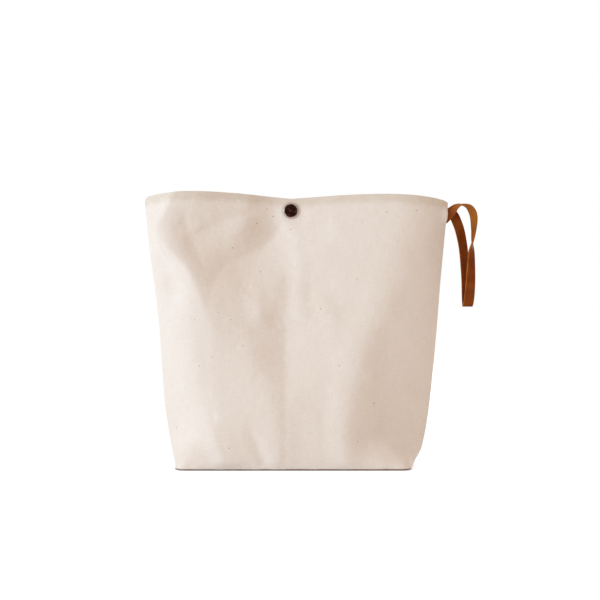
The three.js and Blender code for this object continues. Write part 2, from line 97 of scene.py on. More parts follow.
class Wire:
    """One socket of a node tree, or the bare tree to start from."""

    def __init__(self, tree, socket=None):
        self.tree, self.socket = tree, socket

    def node(self, kind, settings=None, sockets=None, out=None):
        """Adds a node: its settings come first, then the values or wires of its sockets."""
        made = self.tree.nodes.new("ShaderNode" + kind)
        for name, value in (settings or {}).items():
            setattr(made, name, value)
        for name, value in (sockets or {}).items():
            socket = next(s for s in made.inputs if s.enabled and name in (s.name, s.identifier))
            if isinstance(value, Wire):
                self.tree.links.new(value.socket, socket)
            else:
                socket.default_value = value
        shown = [s for s in made.outputs if s.enabled and out in (None, s.name)]
        return Wire(self.tree, shown[0]) if shown else None

    def sum(self, sign, first, second):
        kinds = [w.socket.type for w in (first, second) if isinstance(w, Wire)]
        operation = SIGNS[sign]
        if "RGBA" in kinds:
            sockets = {"Factor": 1.0, "A": as_colour(first), "B": as_colour(second)}
            return self.node("Mix", {"data_type": "RGBA", "blend_type": operation}, sockets)
        if "VECTOR" in kinds:
            sockets = {"Vector": as_vector(first), "Vector_001": as_vector(second)}
            return self.node("VectorMath", {"operation": operation}, sockets)
        return self.node("Math", {"operation": operation}, {"Value": first, "Value_001": second})

    def __add__(self, other):
        return self.sum("+", self, other)

    def __sub__(self, other):
        return self.sum("-", self, other)

    def __rsub__(self, other):
        return self.sum("-", other, self)

    def __mul__(self, other):
        return self.sum("*", self, other)

    def __truediv__(self, other):
        return self.sum("/", self, other)

    def __rtruediv__(self, other):
        return self.sum("/", other, self)

    __radd__, __rmul__ = __add__, __mul__


def mix(first, second, share):
    """The first colour where share is 0 and the second where it is 1."""
    sockets = {"Factor": share, "A": as_colour(first), "B": as_colour(second)}
    return share.node("Mix", {"data_type": "RGBA"}, sockets)


def step(wire, low, high):
    """A soft step from 0 at low to 1 at high."""
    sockets = {"Value": wire, "From Min": low, "From Max": high}
    return wire.node("MapRange", {"interpolation_type": "SMOOTHSTEP"}, sockets)


def noisy(place, scale, detail=2.0, roughness=0.5):
    """Noise around 0.5, with about scale bumps to each unit of place."""
    sockets = {"Vector": place, "Scale": scale, "Detail": detail, "Roughness": roughness}
    return place.node("TexNoise", {}, sockets, out="Fac")


def relief(height, depth, under=None):
    """A normal for a height of 0 to 1 that stands for a depth in metres."""
    sockets = {"Height": height, "Distance": depth}
    if under is not None:
        sockets["Normal"] = under
    return height.node("Bump", {}, sockets)


def finish(name, paint):
    """A material whose shader sockets are what paint(start) returns, constants and wires."""
    material = bpy.data.materials.new(name)
    material.use_nodes = True
    tree = material.node_tree
    tree.nodes.clear()
    start = Wire(tree)
    start.node("OutputMaterial", {}, {"Surface": start.node("BsdfPrincipled", {}, paint(start))})
    print("finish", name, "has", len(tree.nodes), "nodes")
    return material


# %% [markdown]
# Cloth of this kind is photographed on white, under one large soft lamp from the front left and
# the room's own light from everywhere. A weaker lamp behind shows the folds of the back. The
# room's light comes from the world, and shines at a plain level so that a colour renders about as
# it is written. The white background isn't lamplight: the world and the floor add white only
# where a camera, mirror or glass ray looks at them, so the bag isn't bleached and the floor still
# shows its shadow.

# %% Room, lamps and floor
ROOM_LIGHT = (0.80, 0.705, 0.63, 1)
LAMP_COLOUR = (0.60, 0.81, 1.0)
LAMP_DISTANCE, LAMP_AIM = 2.2, Vector((0, 0, 0.13))
# Each lamp has the side it stands on, its width in metres and its power in watts.
LAMPS = {
    "front_lamp": ((-0.83, -0.50, 0.12), 0.6, 25.5),
    "back_lamp": ((0.50, 0.85, 0.15), 0.8, 15),
}
FLOOR_COLOUR, FLOOR_GLOW = (0.9, 0.9, 0.9, 1), (0.40, 0.40, 0.435, 1)
FLOOR_RADIUS, FLOOR_CORNERS = 12, 64


def seen(start):
    """1 where the ray comes from the camera, a mirror or glass."""
    kinds = ("Camera", "Glossy", "Transmission")
    rays = [start.node("LightPath", out=f"Is {kind} Ray") for kind in kinds]
    most = rays[0]
    for ray in rays[1:]:
        most = start.node("Math", {"operation": "MAXIMUM"}, {"Value": most, "Value_001": ray})
    return most


room = bpy.data.worlds.new("room")
bpy.context.scene.world = room
room.use_nodes = True
room.node_tree.nodes.clear()
start = Wire(room.node_tree)
shine = start.node("Background", {}, {"Color": ROOM_LIGHT})
white = start.node("Background", {}, {"Color": (1, 1, 1, 1)})
sky = start.node("MixShader", {}, {"Fac": seen(start), "Shader": shine, "Shader_001": white})
start.node("OutputWorld", {}, {"Surface": sky})

for name, (side, size, power) in LAMPS.items():
    lamp = bpy.data.lights.new(name, "AREA")
    lamp.size, lamp.energy, lamp.color = size, power, LAMP_COLOUR
    lamp_object = bpy.data.objects.new(name, lamp)
    way = Vector(side).normalized()
    lamp_object.location = way * LAMP_DISTANCE + LAMP_AIM
    lamp_object.rotation_euler = (-way).to_track_quat("-Z", "Y").to_euler()
    bpy.context.scene.collection.objects.link(lamp_object)

floor_material = bpy.data.materials.new("floor")
floor_material.use_nodes = True
floor_material.node_tree.nodes.clear()
start = Wire(floor_material.node_tree)
matt = start.node("BsdfDiffuse", {}, {"Color": FLOOR_COLOUR})
glow = start.node("Emission", {}, {"Color": FLOOR_GLOW, "Strength": seen(start)})
both = start.node("AddShader", {}, {"Shader": matt, "Shader_001": glow})
start.node("OutputMaterial", {}, {"Surface": both})

angles = np.linspace(0, math.tau, FLOOR_CORNERS, endpoint=False)
corners = [(math.cos(a), math.sin(a), 0) for a in angles]
ground = bpy.data.meshes.new("floor")
ground.from_pydata([Vector(c) * FLOOR_RADIUS for c in corners], [], [range(len(corners))])
ground.materials.append(floor_material)
floor = bpy.data.objects.new("floor", ground)
bpy.context.scene.collection.objects.link(floor)
print(len(LAMPS), "lamps,", LAMP_DISTANCE, "m away; floor radius", FLOOR_RADIUS, "m")

# %% [markdown]
# Natural cotton canvas is cream, not white: its yarns still hold their wax and some brown flecks
# of seed. It is a plain weave, each yarn going over one and under one. A picture of cloth could be
# wrapped round the bag, but it would stretch and blur close up. Here the weave is a product of two
# sine waves on the cloth's own coordinates, which each cloth piece carries in millimetres along
# its weft and warp, so that yarns keep their size wherever the cloth goes. Two marks are painted
# shade rather than the cloth's own colour: a thin brown line of painted shadow along the foot,
# where the bag meets the floor, and a darker band of painted shade along the hem.

# %% Canvas
YARN, YARN_DEPTH, CRUMPLE_DEPTH = 0.85, 0.00016, 0.0006
FLECK_CELL, FLECK_SHARE, FLECK_SIZE = 6.0, 0.07, 0.75
# The foot's thin brown line is painted shadow where the bag meets the floor.
FOOT_SHADOW_HEIGHT, FOOT_SHADOW_FADE, FOOT_SHADOW_BROWN = 3.7, 0.7, (0.20, 0.105, 0.06)
# The hem's darker band is painted shade.
HEM_PAINTED_SHADE, HEM_SHADE_STEP = (0.88, 0.85, 0.80), (0.45, 1.7)
SHEEN, CANVAS_GLOSS = 0.12, 0.25


def weave(place):
    """How high the yarns of a plain weave stand, from 0 to 1."""
    turns = place * (math.pi / YARN)
    ways = [place.node("SeparateXYZ", {}, {"Vector": turns}, out=axis) for axis in ("X", "Y")]
    waves = [w.node("Math", {"operation": "SINE"}, {"Value": w}) for w in ways]
    return waves[0] * waves[1] * 0.5 + 0.5


def flecks(place, cell, radius):
    """1 on a few scattered dots, one at most in each cell."""
    sockets = {"Vector": place / cell, "Scale": 1.0}
    away = place.node("TexVoronoi", {}, sockets, out="Distance")
    dice = place.node("TexVoronoi", {}, sockets, out="Color")
    chosen = step(dice.node("SeparateColor", {}, {"Color": dice}, out="Red"), 1 - FLECK_SHARE, 1)
    return (1 - step(away, radius * 0.5 / cell, radius / cell)) * step(chosen, 0.0, 0.1)


def canvas(colour, shade, fleck, wear_and_foot_shadow):
    """Paints canvas from the colours of its yarns and flecks, with this much painted shadow at its
    foot.
    """

    def paint(start):
        place = start.node("Attribute", {"attribute_name": "cloth"}, out="Vector")
        weft = noisy(place * (0.09, 1.1, 1.0), 1.0, 2)
        warp = noisy(place * (1.1, 0.09, 1.0) + 40.0, 1.0, 2)
        yarns = (weft + warp) * 0.5
        clouds = noisy(place, 0.03, 3)
        tone = mix(shade, colour, step(clouds * 0.25 + yarns * 0.75, 0.3, 0.62))
        tone = mix(tone, fleck, flecks(place, FLECK_CELL, FLECK_SIZE) * 0.85)
        tone = mix(tone, fleck, flecks(place + 17.0, FLECK_CELL / 3, FLECK_SIZE / 2) * 0.5)
        # Painted shadow: a thin brown line along the foot, where the bag meets the floor.
        height = place.node("SeparateXYZ", {}, {"Vector": place}, out="Y")
        foot_shadow = 1 - step(height + noisy(place, 0.07, 2) * 1.4, FOOT_SHADOW_HEIGHT, FOOT_SHADOW_HEIGHT + FOOT_SHADOW_FADE)
        tone = mix(tone, FOOT_SHADOW_BROWN, foot_shadow * wear_and_foot_shadow)
        # Painted shade: a darker band along the hem below the rim.
        hem = start.node("Attribute", {"attribute_name": "hem"}, out="Fac")
        tone = mix(tone, tone * HEM_PAINTED_SHADE, step(hem + noisy(place, 0.12, 3) * 0.9, *HEM_SHADE_STEP))
        crumple = relief(noisy(place, 0.14, 3), CRUMPLE_DEPTH)
        woven = relief(weave(place) * (yarns * 0.7 + 0.3), YARN_DEPTH, crumple)
        return {"Base Color": tone, "Roughness": yarns * 0.12 + 0.84, "Normal": woven,
                "Sheen Weight": SHEEN, "Specular IOR Level": CANVAS_GLOSS}

    return paint


# The outer canvas gets the painted shadow at its foot; the inner canvas gets none.
CANVAS = finish("canvas", canvas(
    colour=(0.82, 0.735, 0.665), shade=(0.765, 0.67, 0.59), fleck=(0.30, 0.17, 0.08), wear_and_foot_shadow=0.85))
LINING = finish("canvas_inner", canvas(
    colour=(0.80, 0.71, 0.64), shade=(0.73, 0.63, 0.55), fleck=(0.28, 0.16, 0.08), wear_and_foot_shadow=0.0))

# %% [markdown]
# The thread is spun cotton too, but bleached, so it is a little lighter than the canvas. It is
# only half a millimetre thick, and a slanted ripple along it is enough to read as its twist.

# %% Thread
TWIST, TWIST_DEPTH = 0.8, 0.00008


def thread(start):
    place = start.node("TexCoord", out="Object") * (1 / MM)
    slant = place.node("VectorMath", {"operation": "DOT_PRODUCT"},
                       {"Vector": place, "Vector_001": (1.0, 1.0, 0.6)}, out="Value")
    wave = slant.node("Math", {"operation": "SINE"}, {"Value": slant * (math.tau / TWIST)})
    ply = wave * 0.5 + 0.5
    tone = mix((0.80, 0.73, 0.65), (0.90, 0.84, 0.76), ply)
    return {"Base Color": tone, "Roughness": 0.8, "Normal": relief(ply, TWIST_DEPTH)}


THREAD = finish("thread", thread)

# %% [markdown]
# The strip is vegetable-tanned leather: a smooth tan face with fine pores, darker where it is
# handled, and raw cut edges where the paler fibres show. Both are one finish on two settings,
# because the edge differs only in colour, roughness and the size of its grain. The arch beside
# the seam, found by the length along the strip, gets a paler tone that is painted light, where
# the lamp catches the bend.

# %% Leather
# The arch's paler tone is painted light, where the lamp catches the bend.
ARCH_PAINTED_LIGHT, ARCH_LIGHT_SHARE = (0.36, 0.118, 0.018), 0.85
ARCH_STARTS, ARCH_ENDS = (2, 14), (36, 62)
LEATHER_GLOSS = 0.06


def leather(light, dark, grain_scale, grain_depth, rough):
    """Paints leather with its grain in bumps to the millimetre and its depth in metres."""

    def paint(start):
        place = start.node("TexCoord", out="Object") * (1 / MM)
        pores = noisy(place, grain_scale, 4, 0.6)
        clouds = noisy(place, 0.09, 3)
        tone = mix(dark, light, step(clouds * 0.6 + pores * 0.4, 0.36, 0.64))
        strip = start.node("Attribute", {"attribute_name": "cloth"}, out="Vector")
        length = start.node("SeparateXYZ", {}, {"Vector": strip}, out="X")
        # Painted light: the arch beside the seam is painted paler.
        arch_lit = step(length, *ARCH_STARTS) * (1 - step(length, *ARCH_ENDS))
        tone = mix(tone, ARCH_PAINTED_LIGHT, arch_lit * ARCH_LIGHT_SHARE)
        scratches = noisy(place * (1.0, 1.0, 0.12), 1.6, 2)
        grained = relief(pores * 0.7 + scratches * 0.3, grain_depth)
        return {"Base Color": tone, "Roughness": pores * 0.22 + rough, "Normal": grained,
                "Specular IOR Level": LEATHER_GLOSS}

    return paint


LEATHER = finish("leather", leather(
    light=(0.245, 0.058, 0.008), dark=(0.17, 0.034, 0.003),
    grain_scale=1.7, grain_depth=0.00018, rough=0.46))
RAW_EDGE = finish("leather_edge", leather(
    light=(0.42, 0.13, 0.024), dark=(0.27, 0.07, 0.010),
    grain_scale=3.4, grain_depth=0.0003, rough=0.66))

# %% [markdown]
# The press stud is brass under a dark antique brown. The plating is thinnest where it is rubbed,
# so noise lets a little warm brass through and makes it smoother there, and the cap's rim, which
# touches most things, is bare in places. The ring spring inside the socket is plain steel wire.

# %% Metals
BARE_METAL, METALLIC, BRUSH_DEPTH = (0.45, 0.35, 0.30), 0.97, 0.00003


def metal(light, dark, rough, worn):
    """Paints plated metal, light over the worn share of its surface and dark elsewhere."""

    def paint(start):
        place = start.node("TexCoord", out="Object") * (1 / MM)
        wear_and_foot_shadow = step(noisy(place, 0.32, 3, 0.6), 1 - worn, 1.25 - worn)
        rim = start.node("Attribute", {"attribute_name": "rub"}, out="Fac")
        bare = step(rim + noisy(place, 0.3, 2) * 1.1, 0.85, 1.3) * step(rim, 0.0, 0.1)
        fine = noisy(place, 3.0, 3)
        return {"Base Color": mix(mix(dark, light, wear_and_foot_shadow), BARE_METAL, bare),
                "Metallic": METALLIC, "Roughness": fine * 0.2 + rough - wear_and_foot_shadow * 0.1,
                "Normal": relief(fine, BRUSH_DEPTH)}

    return paint


STUD_METAL = finish("antique_brown", metal(
    light=(0.105, 0.036, 0.02), dark=(0.018, 0.006, 0.004), rough=0.26, worn=0.5))
STEEL = finish("spring_steel", metal(
    light=(0.62, 0.60, 0.57), dark=(0.45, 0.43, 0.41), rough=0.25, worn=0.6))

# %% [markdown]
# The walls follow three outlines, each measured by its share of length from a side seam to the
# line below the stud. The base is a rectangle with soft corners. A little above it the cloth
# leaves that box and runs slantwise from a flat face to the seam, the belly. At the mouth the rim
# bows out from each seam and comes back to the stud. Blending between outlines gives one smooth
# wall, which a stack of boxes or a subdivided cube wouldn't.

# %% Outlines of the bag
BASE_LENGTH, BASE_DEPTH, BASE_CORNER = 230, 84, 10
RIM_Z, STUD_X, STUD_Z, HALF_GAP = 266.5, -2.5, 254.5, 5.5
BELLY_Z, FACE_SWELL, SWELL_RISE = 35, 3, 0.4
SEAT_HALF_WIDTH, SEAT_DEPTH, SEAT_FADE = 12, 24, 34
CREST_LEAN, CORNER_SHARE = 1.6, 0.02
# The hand is the side of the bag, and the rest are lengths and places. Wander pairs a height with
# how far the seam strays outwards there.
LEFT = {
    "hand": -1, "seam_x": -147.3, "seam_z": 267.9, "bow": 27, "lift": 8,
    "seam_reach": 45, "stud_reach": 66, "face_end": -84, "bend": 16,
    "swell": 4.7, "crest": 2.6, "corner_drop": 2.4,
    "wander": [(0, 0), (35, 1.6), (65, 2.4), (100, 1.2), (140, -0.2), (170, 0.2), (215, 2.2),
               (268, 2.2)]}
RIGHT = {
    "hand": 1, "seam_x": 154.2, "seam_z": 263.9, "bow": 17, "lift": 10.5,
    "seam_reach": 39, "stud_reach": 62, "face_end": 60, "bend": 26,
    "swell": 10.3, "crest": 1.9, "corner_drop": 1.2,
    "wander": [(0, -0.4), (6, -1), (12, 0.3), (18, 1.7), (35, 2.2), (65, 2.2), (140, 1.8),
               (180, 1.1), (268, 1)]}


def smooth(t):
    t = np.clip(t, 0, 1)
    return t * t * (3 - 2 * t)


def bezier(*corners):
    t = np.linspace(0, 1, 200)[:, None]
    rows = [np.array(c, float) + 0 * t for c in corners]
    while len(rows) > 1:
        rows = [a + (b - a) * t for a, b in zip(rows, rows[1:])]
    return rows[0]


def along(line, share):
    """The points at these shares of a line's length."""
    lengths = np.r_[0, np.cumsum(np.linalg.norm(np.diff(line, axis=0), axis=1))]
    return np.stack([np.interp(share * lengths[-1], lengths, axis) for axis in line.T], axis=-1)


def base_outline(part):
    x, y, r = part["hand"] * BASE_LENGTH / 2, BASE_DEPTH / 2, BASE_CORNER
    turn = np.linspace(0, math.pi / 2, 40)
    corner_x = x - part["hand"] * r * (1 - np.cos(turn))
    corner_y = y - r * (1 - np.sin(turn))
    return np.array([(x, 0), *zip(corner_x, corner_y), (STUD_X, y)])


def belly_outline(part):
    hand, bend = part["hand"], part["bend"]
    seam = np.array([hand * BASE_LENGTH / 2, 0])
    knee = np.array([part["face_end"], BASE_DEPTH / 2])
    way = (seam - knee) / np.linalg.norm(seam - knee)
    turn = bezier(knee + way * bend, knee, knee - (hand * bend, 0))
    return np.array([seam, *turn, (STUD_X, BASE_DEPTH / 2)])


def rim_outline(part):
    """The rim as a cubic curve. At its third, y is 4/9 of handle and 7/27 of HALF_GAP."""
    inward, seam_x, seam_z = -part["hand"], part["seam_x"], part["seam_z"]
    handle = (part["bow"] - HALF_GAP * 7 / 27) * 9 / 4
    return bezier((seam_x, 0, seam_z),
                  (seam_x + inward * part["seam_reach"], handle, seam_z + part["lift"]),
                  (STUD_X - inward * part["stud_reach"], HALF_GAP, RIM_Z),
                  (STUD_X, HALF_GAP, RIM_Z))


for part in (LEFT, RIGHT):
    part["base"], part["belly"] = base_outline(part), belly_outline(part)
    part["rim"] = rim_outline(part)
    straight = BASE_DEPTH / 2 - BASE_CORNER + math.pi / 2 * BASE_CORNER
    part["corner"] = straight / (straight + BASE_LENGTH / 2 - BASE_CORNER - part["hand"] * STUD_X)
    print("corner of the base at", round(part["corner"], 3), "of its outline")


# %% Wall between the outlines
def wall(side, w, v):
    """Points on a wall: side -1 front, 1 back; w from -1 left seam to 1 right; v from 0 to 1."""
    u = 1 - abs(w)
    made = np.zeros(w.shape + (3,))
    for part in (LEFT, RIGHT):
        top = along(part["rim"], u)
        x_top, y_top = top[..., 0], top[..., 1]
        z_top = top[..., 2] + part["crest"] * np.sin(math.pi * u ** CREST_LEAN)
        z_top = z_top - part["corner_drop"] * np.exp(-(u / CORNER_SHARE) ** 2)
        z = z_top * v
        low = along(part["base"], u)
        low = low + (along(part["belly"], u) - low) * smooth(z / BELLY_Z)[..., None]
        swell = np.sin(math.pi * v ** SWELL_RISE)
        end = np.cos(np.minimum(u / part["corner"], 1) * math.pi / 2) ** 2
        x = low[..., 0] + (x_top - low[..., 0]) * v + part["hand"] * part["swell"] * swell * end
        y = low[..., 1] + (y_top - low[..., 1]) * smooth(v) + FACE_SWELL * swell * (1 - end)
        across = smooth((abs(x - STUD_X) - SEAT_HALF_WIDTH) / SEAT_FADE)
        seated = (1 - across) * (1 - smooth((z_top - SEAT_DEPTH - z) / SEAT_FADE))
        y += (HALF_GAP - y) * seated
        mine = (w > 0) == (part is RIGHT)
        made[mine] = np.stack([x, side * y, z], axis=-1)[mine]
    return made


corner_points = wall(-1, np.array([-1.0, 0.0, 1.0]), np.ones(3))
print("rim at left seam, stud and right seam:", corner_points.round(1).tolist())

# %% [markdown]
# Folds make the bag. Each one is a short line of stations down the cloth that say where it runs,
# how far it stands out or in, and how far it spreads to its left and right. Where its two flanks
# differ, light catches one and misses the other, as on pressed canvas. A cloth simulation would
# give folds too, but not these folds in these places.

# %% Folds
FOLD_STEPS = 12
# Each station is x, z, height, spread to the left and spread to the right. The number before the
# stations is the fold's sharpness, from 0 for a soft swelling to 1 for a crease.
FRONT_FOLDS = {
    "valley that the stud pulls": (0.6, [
        (-9, 246, -2.2, 40, 10), (-17, 233, -6, 60, 26), (-33, 217, -8.2, 64, 42),
        (-52, 208, -7.5, 60, 52), (-69, 198, -6, 50, 50), (-80, 180, -4, 44, 44),
        (-84, 150, -1, 36, 36), (-84, 130, 0, 30, 30)]),
    "tight cloth beside the stud": (0.0, [
        (-50, 272, 3, 60, 44), (-50, 256, 4, 60, 42), (-52, 240, 3.8, 50, 38),
        (-58, 224, 1.2, 40, 32), (-64, 210, 0, 34, 30)]),
    "hollow beside the shoulder": (0.3, [
        (-108, 266, -1, 22, 60), (-106, 250, -6, 22, 90), (-104, 236, -9, 22, 90),
        (-98, 219, -7, 20, 60), (-90, 202, -3, 16, 36), (-84, 190, 0, 14, 30)]),
    "shoulder at the left": (0.7, [
        (-119, 270, 5, 8, 60), (-124, 252, 10.5, 8, 76), (-129, 236, 13.5, 9, 76),
        (-121, 217, 12.5, 12, 66), (-106, 200, 7.5, 16, 50), (-96, 181, 5, 20, 44),
        (-87, 158, 3.5, 26, 44), (-76, 130, 1.5, 30, 40), (-66, 100, 0, 34, 36)]),
    "soft knee of the left facet": (0.0, [
        (-92, 170, 0, 20, 40), (-88, 140, -3, 24, 44), (-84, 100, -4.5, 26, 46),
        (-84, 60, -4.5, 26, 46), (-84, 20, -2, 20, 30)]),
    "dent in the left edge": (0.0, [
        (-130, 224, 0, 8, 8), (-128, 206, -2.2, 10, 10), (-122, 186, -3, 11, 11),
        (-120, 168, -3.2, 12, 12), (-122, 150, 0, 12, 10)]),
    "middle crease": (0.5, [
        (-7, 238, -0.8, 22, 30), (-7, 214, -1.4, 26, 30), (-7, 188, -1.5, 18, 16),
        (-7, 158, -1.4, 14, 10), (-8, 144, -4, 34, 40), (-8, 120, -7, 40, 60),
        (-8, 98, -5, 32, 60), (-8, 82, -1.8, 14, 34), (-8, 66, -0.7, 7, 7),
        (-8, 4, -0.7, 7, 7)]),
    "ridge above the diamond": (0.3, [
        (-42, 184, 0, 16, 16), (-36, 166, 2, 16, 18), (-33, 150, 2.6, 16, 20),
        (-38, 138, 0, 14, 14)]),
    "low ridge beside the crease": (0.2, [
        (-36, 88, 0, 14, 16), (-24, 66, 1.8, 26, 22), (-17, 38, 2.6, 30, 26),
        (-14, 10, 2.4, 24, 26), (-14, 0, 1.6, 18, 24)]),
    "wedge at the lower left": (0.8, [
        (-94, 72, 0, 20, 14), (-82, 46, 3, 34, 34), (-73, 24, 5.2, 42, 44),
        (-69, 9, 5.8, 44, 46), (-71, 0, 4.4, 36, 38)]),
    "slanting low crease": (0.4, [
        (-46, 46, 0, 8, 8), (-36, 28, -1.6, 10, 9), (-29, 12, -2, 10, 9),
        (-26, 3, -1.6, 10, 8)]),
    "small dent": (0.3, [
        (-94, 56, 0, 8, 8), (-86, 52, -1.2, 9, 9), (-77, 52, -1.4, 8, 8), (-74, 54, 0, 6, 6)]),
    "slack right of the stud": (0.0, [
        (26, 262, 1.2, 30, 90), (26, 236, 2, 44, 90), (26, 205, 1.8, 40, 80),
        (24, 170, 0, 30, 60)]),
    "line right of the crease": (0.2, [
        (5, 226, 0.2, 9, 9), (6, 205, 0.9, 9, 13), (7, 175, 1.2, 10, 13),
        (8, 145, 0.3, 9, 12)]),
    "faint ridge right of the middle": (0.0, [
        (26, 180, 0, 14, 12), (30, 165, 1.2, 16, 12), (38, 148, 1.5, 18, 12),
        (44, 132, 0, 16, 12)]),
    "right facet's fold": (0.1, [
        (96, 190, 0, 18, 20), (84, 160, 1.5, 26, 26), (70, 120, 2.4, 28, 26),
        (55, 74, 3.2, 26, 30), (50, 36, 3.6, 22, 28), (52, 8, 2.4, 20, 22)]),
    "turn towards the right seam": (0.2, [
        (108, 266, 1, 60, 40), (106, 238, 2, 90, 44), (102, 200, 2.4, 90, 48),
        (96, 165, 2, 70, 46), (90, 135, 0, 40, 40)]),
    "pale corner at the right": (0.0, [
        (84, 8, 0, 10, 16), (102, 12, -1.4, 16, 14), (114, 18, 0, 10, 10)]),
}
BACK_FOLDS = {
    "groove that the stud pulls": (0.6, [
        (6, 242, -1.5, 14, 24), (24, 228, -4.5, 26, 44), (46, 212, -5.5, 34, 48),
        (72, 196, -4, 34, 44), (92, 180, 0, 24, 30)]),
    "shoulder at its end": (0.5, [
        (120, 268, 2, 40, 9), (122, 246, 5, 50, 10), (118, 222, 6, 50, 12),
        (106, 200, 5, 40, 16), (92, 176, 2, 34, 20), (84, 150, 0, 30, 20)]),
    "middle crease": (0.5, [
        (-2, 232, -0.8, 8, 8), (-3, 150, -2.2, 18, 12), (-2, 90, -3, 26, 12),
        (-3, 50, -1.6, 12, 8), (-3, 4, -1.2, 8, 7)]),
    "ridge at the left": (0.4, [
        (-118, 240, 0, 10, 16), (-106, 196, 4.5, 22, 40), (-94, 130, 4.5, 26, 36),
        (-84, 60, 4, 26, 30), (-80, 14, 2, 20, 20)]),
    "ridge at the right": (0.3, [
        (100, 160, 0, 24, 20), (86, 120, 3, 28, 24), (72, 66, 4, 30, 26), (66, 16, 3, 22, 20)]),
    "low dent": (0.2, [
        (20, 90, 0, 20, 20), (28, 62, -3.5, 26, 30), (22, 28, -3.5, 24, 26),
        (16, 8, -2, 20, 20)]),
    "slanting ridge": (0.3, [
        (-60, 64, 0, 14, 14), (-46, 44, 2.5, 22, 14), (-36, 20, 3.2, 24, 12),
        (-32, 4, 2.5, 20, 10)]),
    "slack under the stud": (0.2, [
        (-20, 226, 0, 12, 16), (-34, 204, 2, 20, 24), (-44, 176, 2.5, 24, 26),
        (-48, 140, 0, 20, 20)]),
}
print(len(FRONT_FOLDS), "folds on the front,", len(BACK_FOLDS), "on the back")


# %% Height of a fold
def catmull(points, per_span):
    """A smooth line through points of any number of values, with per_span steps to each span."""
    p = np.array(points, float)
    p = np.vstack([2 * p[0] - p[1], p, 2 * p[-1] - p[-2]])
    t = np.linspace(0, 1, per_span, endpoint=False)[:, None]
    spans = [0.5 * (2 * b + (c - a) * t + (2 * a - 5 * b + 4 * c - d) * t ** 2
                    + (3 * b - a - 3 * c + d) * t ** 3)
             for a, b, c, d in zip(p, p[1:], p[2:], p[3:])]
    return np.vstack([*spans, p[-2]])


def fold_height(x, z, sharpness, stations):
    """How far a fold lifts the cloth out of the wall at these places, in millimetres."""
    line = catmull(stations, FOLD_STEPS)
    way = np.gradient(line[:, :2], axis=0)
    way /= np.linalg.norm(way, axis=1, keepdims=True)
    away = np.hypot(x[..., None] - line[:, 0], z[..., None] - line[:, 1])
    nearest = away.argmin(axis=-1)
    away = away.min(axis=-1)
    at, way = line[nearest], way[nearest]
    to_right = (z - at[..., 1]) * way[..., 0] - (x - at[..., 0]) * way[..., 1]
    spread = np.where(to_right > 0, at[..., 4], at[..., 3])
    near = np.clip(1 - away / np.maximum(spread, 1), 0, 1)
    return at[..., 2] * (sharpness * near ** 2 + (1 - sharpness) * smooth(near))


def soften(heights, passes):
    """Averages each place with its neighbours both ways, by turning the grid each time."""
    for _ in range(2 * passes):
        wide = np.pad(heights, ((1, 1), (0, 0)), mode="edge")
        heights = ((wide[:-2] + 2 * heights + wide[2:]) / 4).T
    return heights


def rumple(x, z, size, seed):
    """Unevenness of about this size across, from -1 to 1."""
    spots = [noise.noise(Vector((a / size, seed, b / size))) for a, b in zip(x.flat, z.flat)]
    return np.array(spots).reshape(x.shape)


spot = np.array([-33.0]), np.array([217.0])
depth = fold_height(*spot, *FRONT_FOLDS["valley that the stud pulls"])
print("the valley at x -33, z 217:", depth.round(1).tolist(), "mm")

# %% [markdown]
# A wall is one piece of cloth with two faces. Its outer face is the wall's shape with the folds
# pressed in. Its inner face lies under it at the cloth's thickness, or twice that where the hem
# is turned in along the rim. All edges are rounded: the rim is a fold, the foot turns under the
# base, and along each side seam the cloth rolls in to where it is sewn. Grids of points keep this
# exact, where a Solidify modifier would cross itself at the seam.

# %% Grid of a wall
# Half a wall is about HALF_ARC of cloth from its seam to the stud. Columns and rows lie closer
# together where an edge is round, and their places are written as millimetres from that edge.
HALF_ARC, COLUMNS_PER_HALF, WALL_ROWS = 157, 96, 165
HEM, HEM_EDGE = 9.0, 0.5

edge = np.array([0, 0.25, 0.6, 1.0, 1.5])
from_seam = np.r_[edge / HALF_ARC, np.linspace(2.2 / HALF_ARC, 1, COLUMNS_PER_HALF)]
COLUMNS = np.r_[from_seam - 1, 1 - from_seam[-2::-1]]
foot_rows = np.array([0, 0.2, 0.5, 0.9, 1.4, 1.9]) / RIM_Z
rim_rows = 1 - np.array([HEM + HEM_EDGE, HEM, 2.6, 1.7, 1.1, 0.7, 0.35, 0.1, 0]) / RIM_Z
middle_rows = np.linspace(2.5 / RIM_Z, 1 - (HEM + 2) / RIM_Z, WALL_ROWS)
hem_rows = np.linspace(1 - (HEM - 1) / RIM_Z, 1 - 3.6 / RIM_Z, 5)
ROWS = np.unique(np.r_[foot_rows, middle_rows, hem_rows, rim_rows])
print("grid of a wall:", len(COLUMNS), "columns and", len(ROWS), "rows")

# %% Cloth of both walls
CLOTH, HEM_CLOTH = 0.95, 2.2
FOOT_ROUND, SEAM_ROLL, WANDER_REACH = 1.4, 1.7, 30
SEAM_CALM, STUD_FLAT, STUD_CALM, FOOT_CALM = 14, 9, 12, 10
STITCH_DROP, PUCKER_REACH, PUCKER_DEPTH, PUCKER_CHANGE = 7.2, 4.5, 0.35, 0.45
PUCKER_FROM_STUD, PUCKER_FADE = 12, 10
# How far the hem's painted shade reaches below the hem, and how softly it fades.
HEM_BLUR, HEM_SHADE_FADE = 4, 9
LOOP_Z, LOOP_HALF_HEIGHT, LOOP_BULGE, LOOP_BULGE_REACH = 250.6, 8.5, 2.9, 5
LOOP_BULGE_TOP, SEAM_GAP, THINNEST = 1.4, 0.05, 0.01
# The cloth's unevenness: the height and the size of its bumps, and what is added to the seed.
RUMPLES = ((0.5, 26, 0), (0.16, 9, 5))
FRONT_SEED, BACK_SEED = 3.3, 21.7


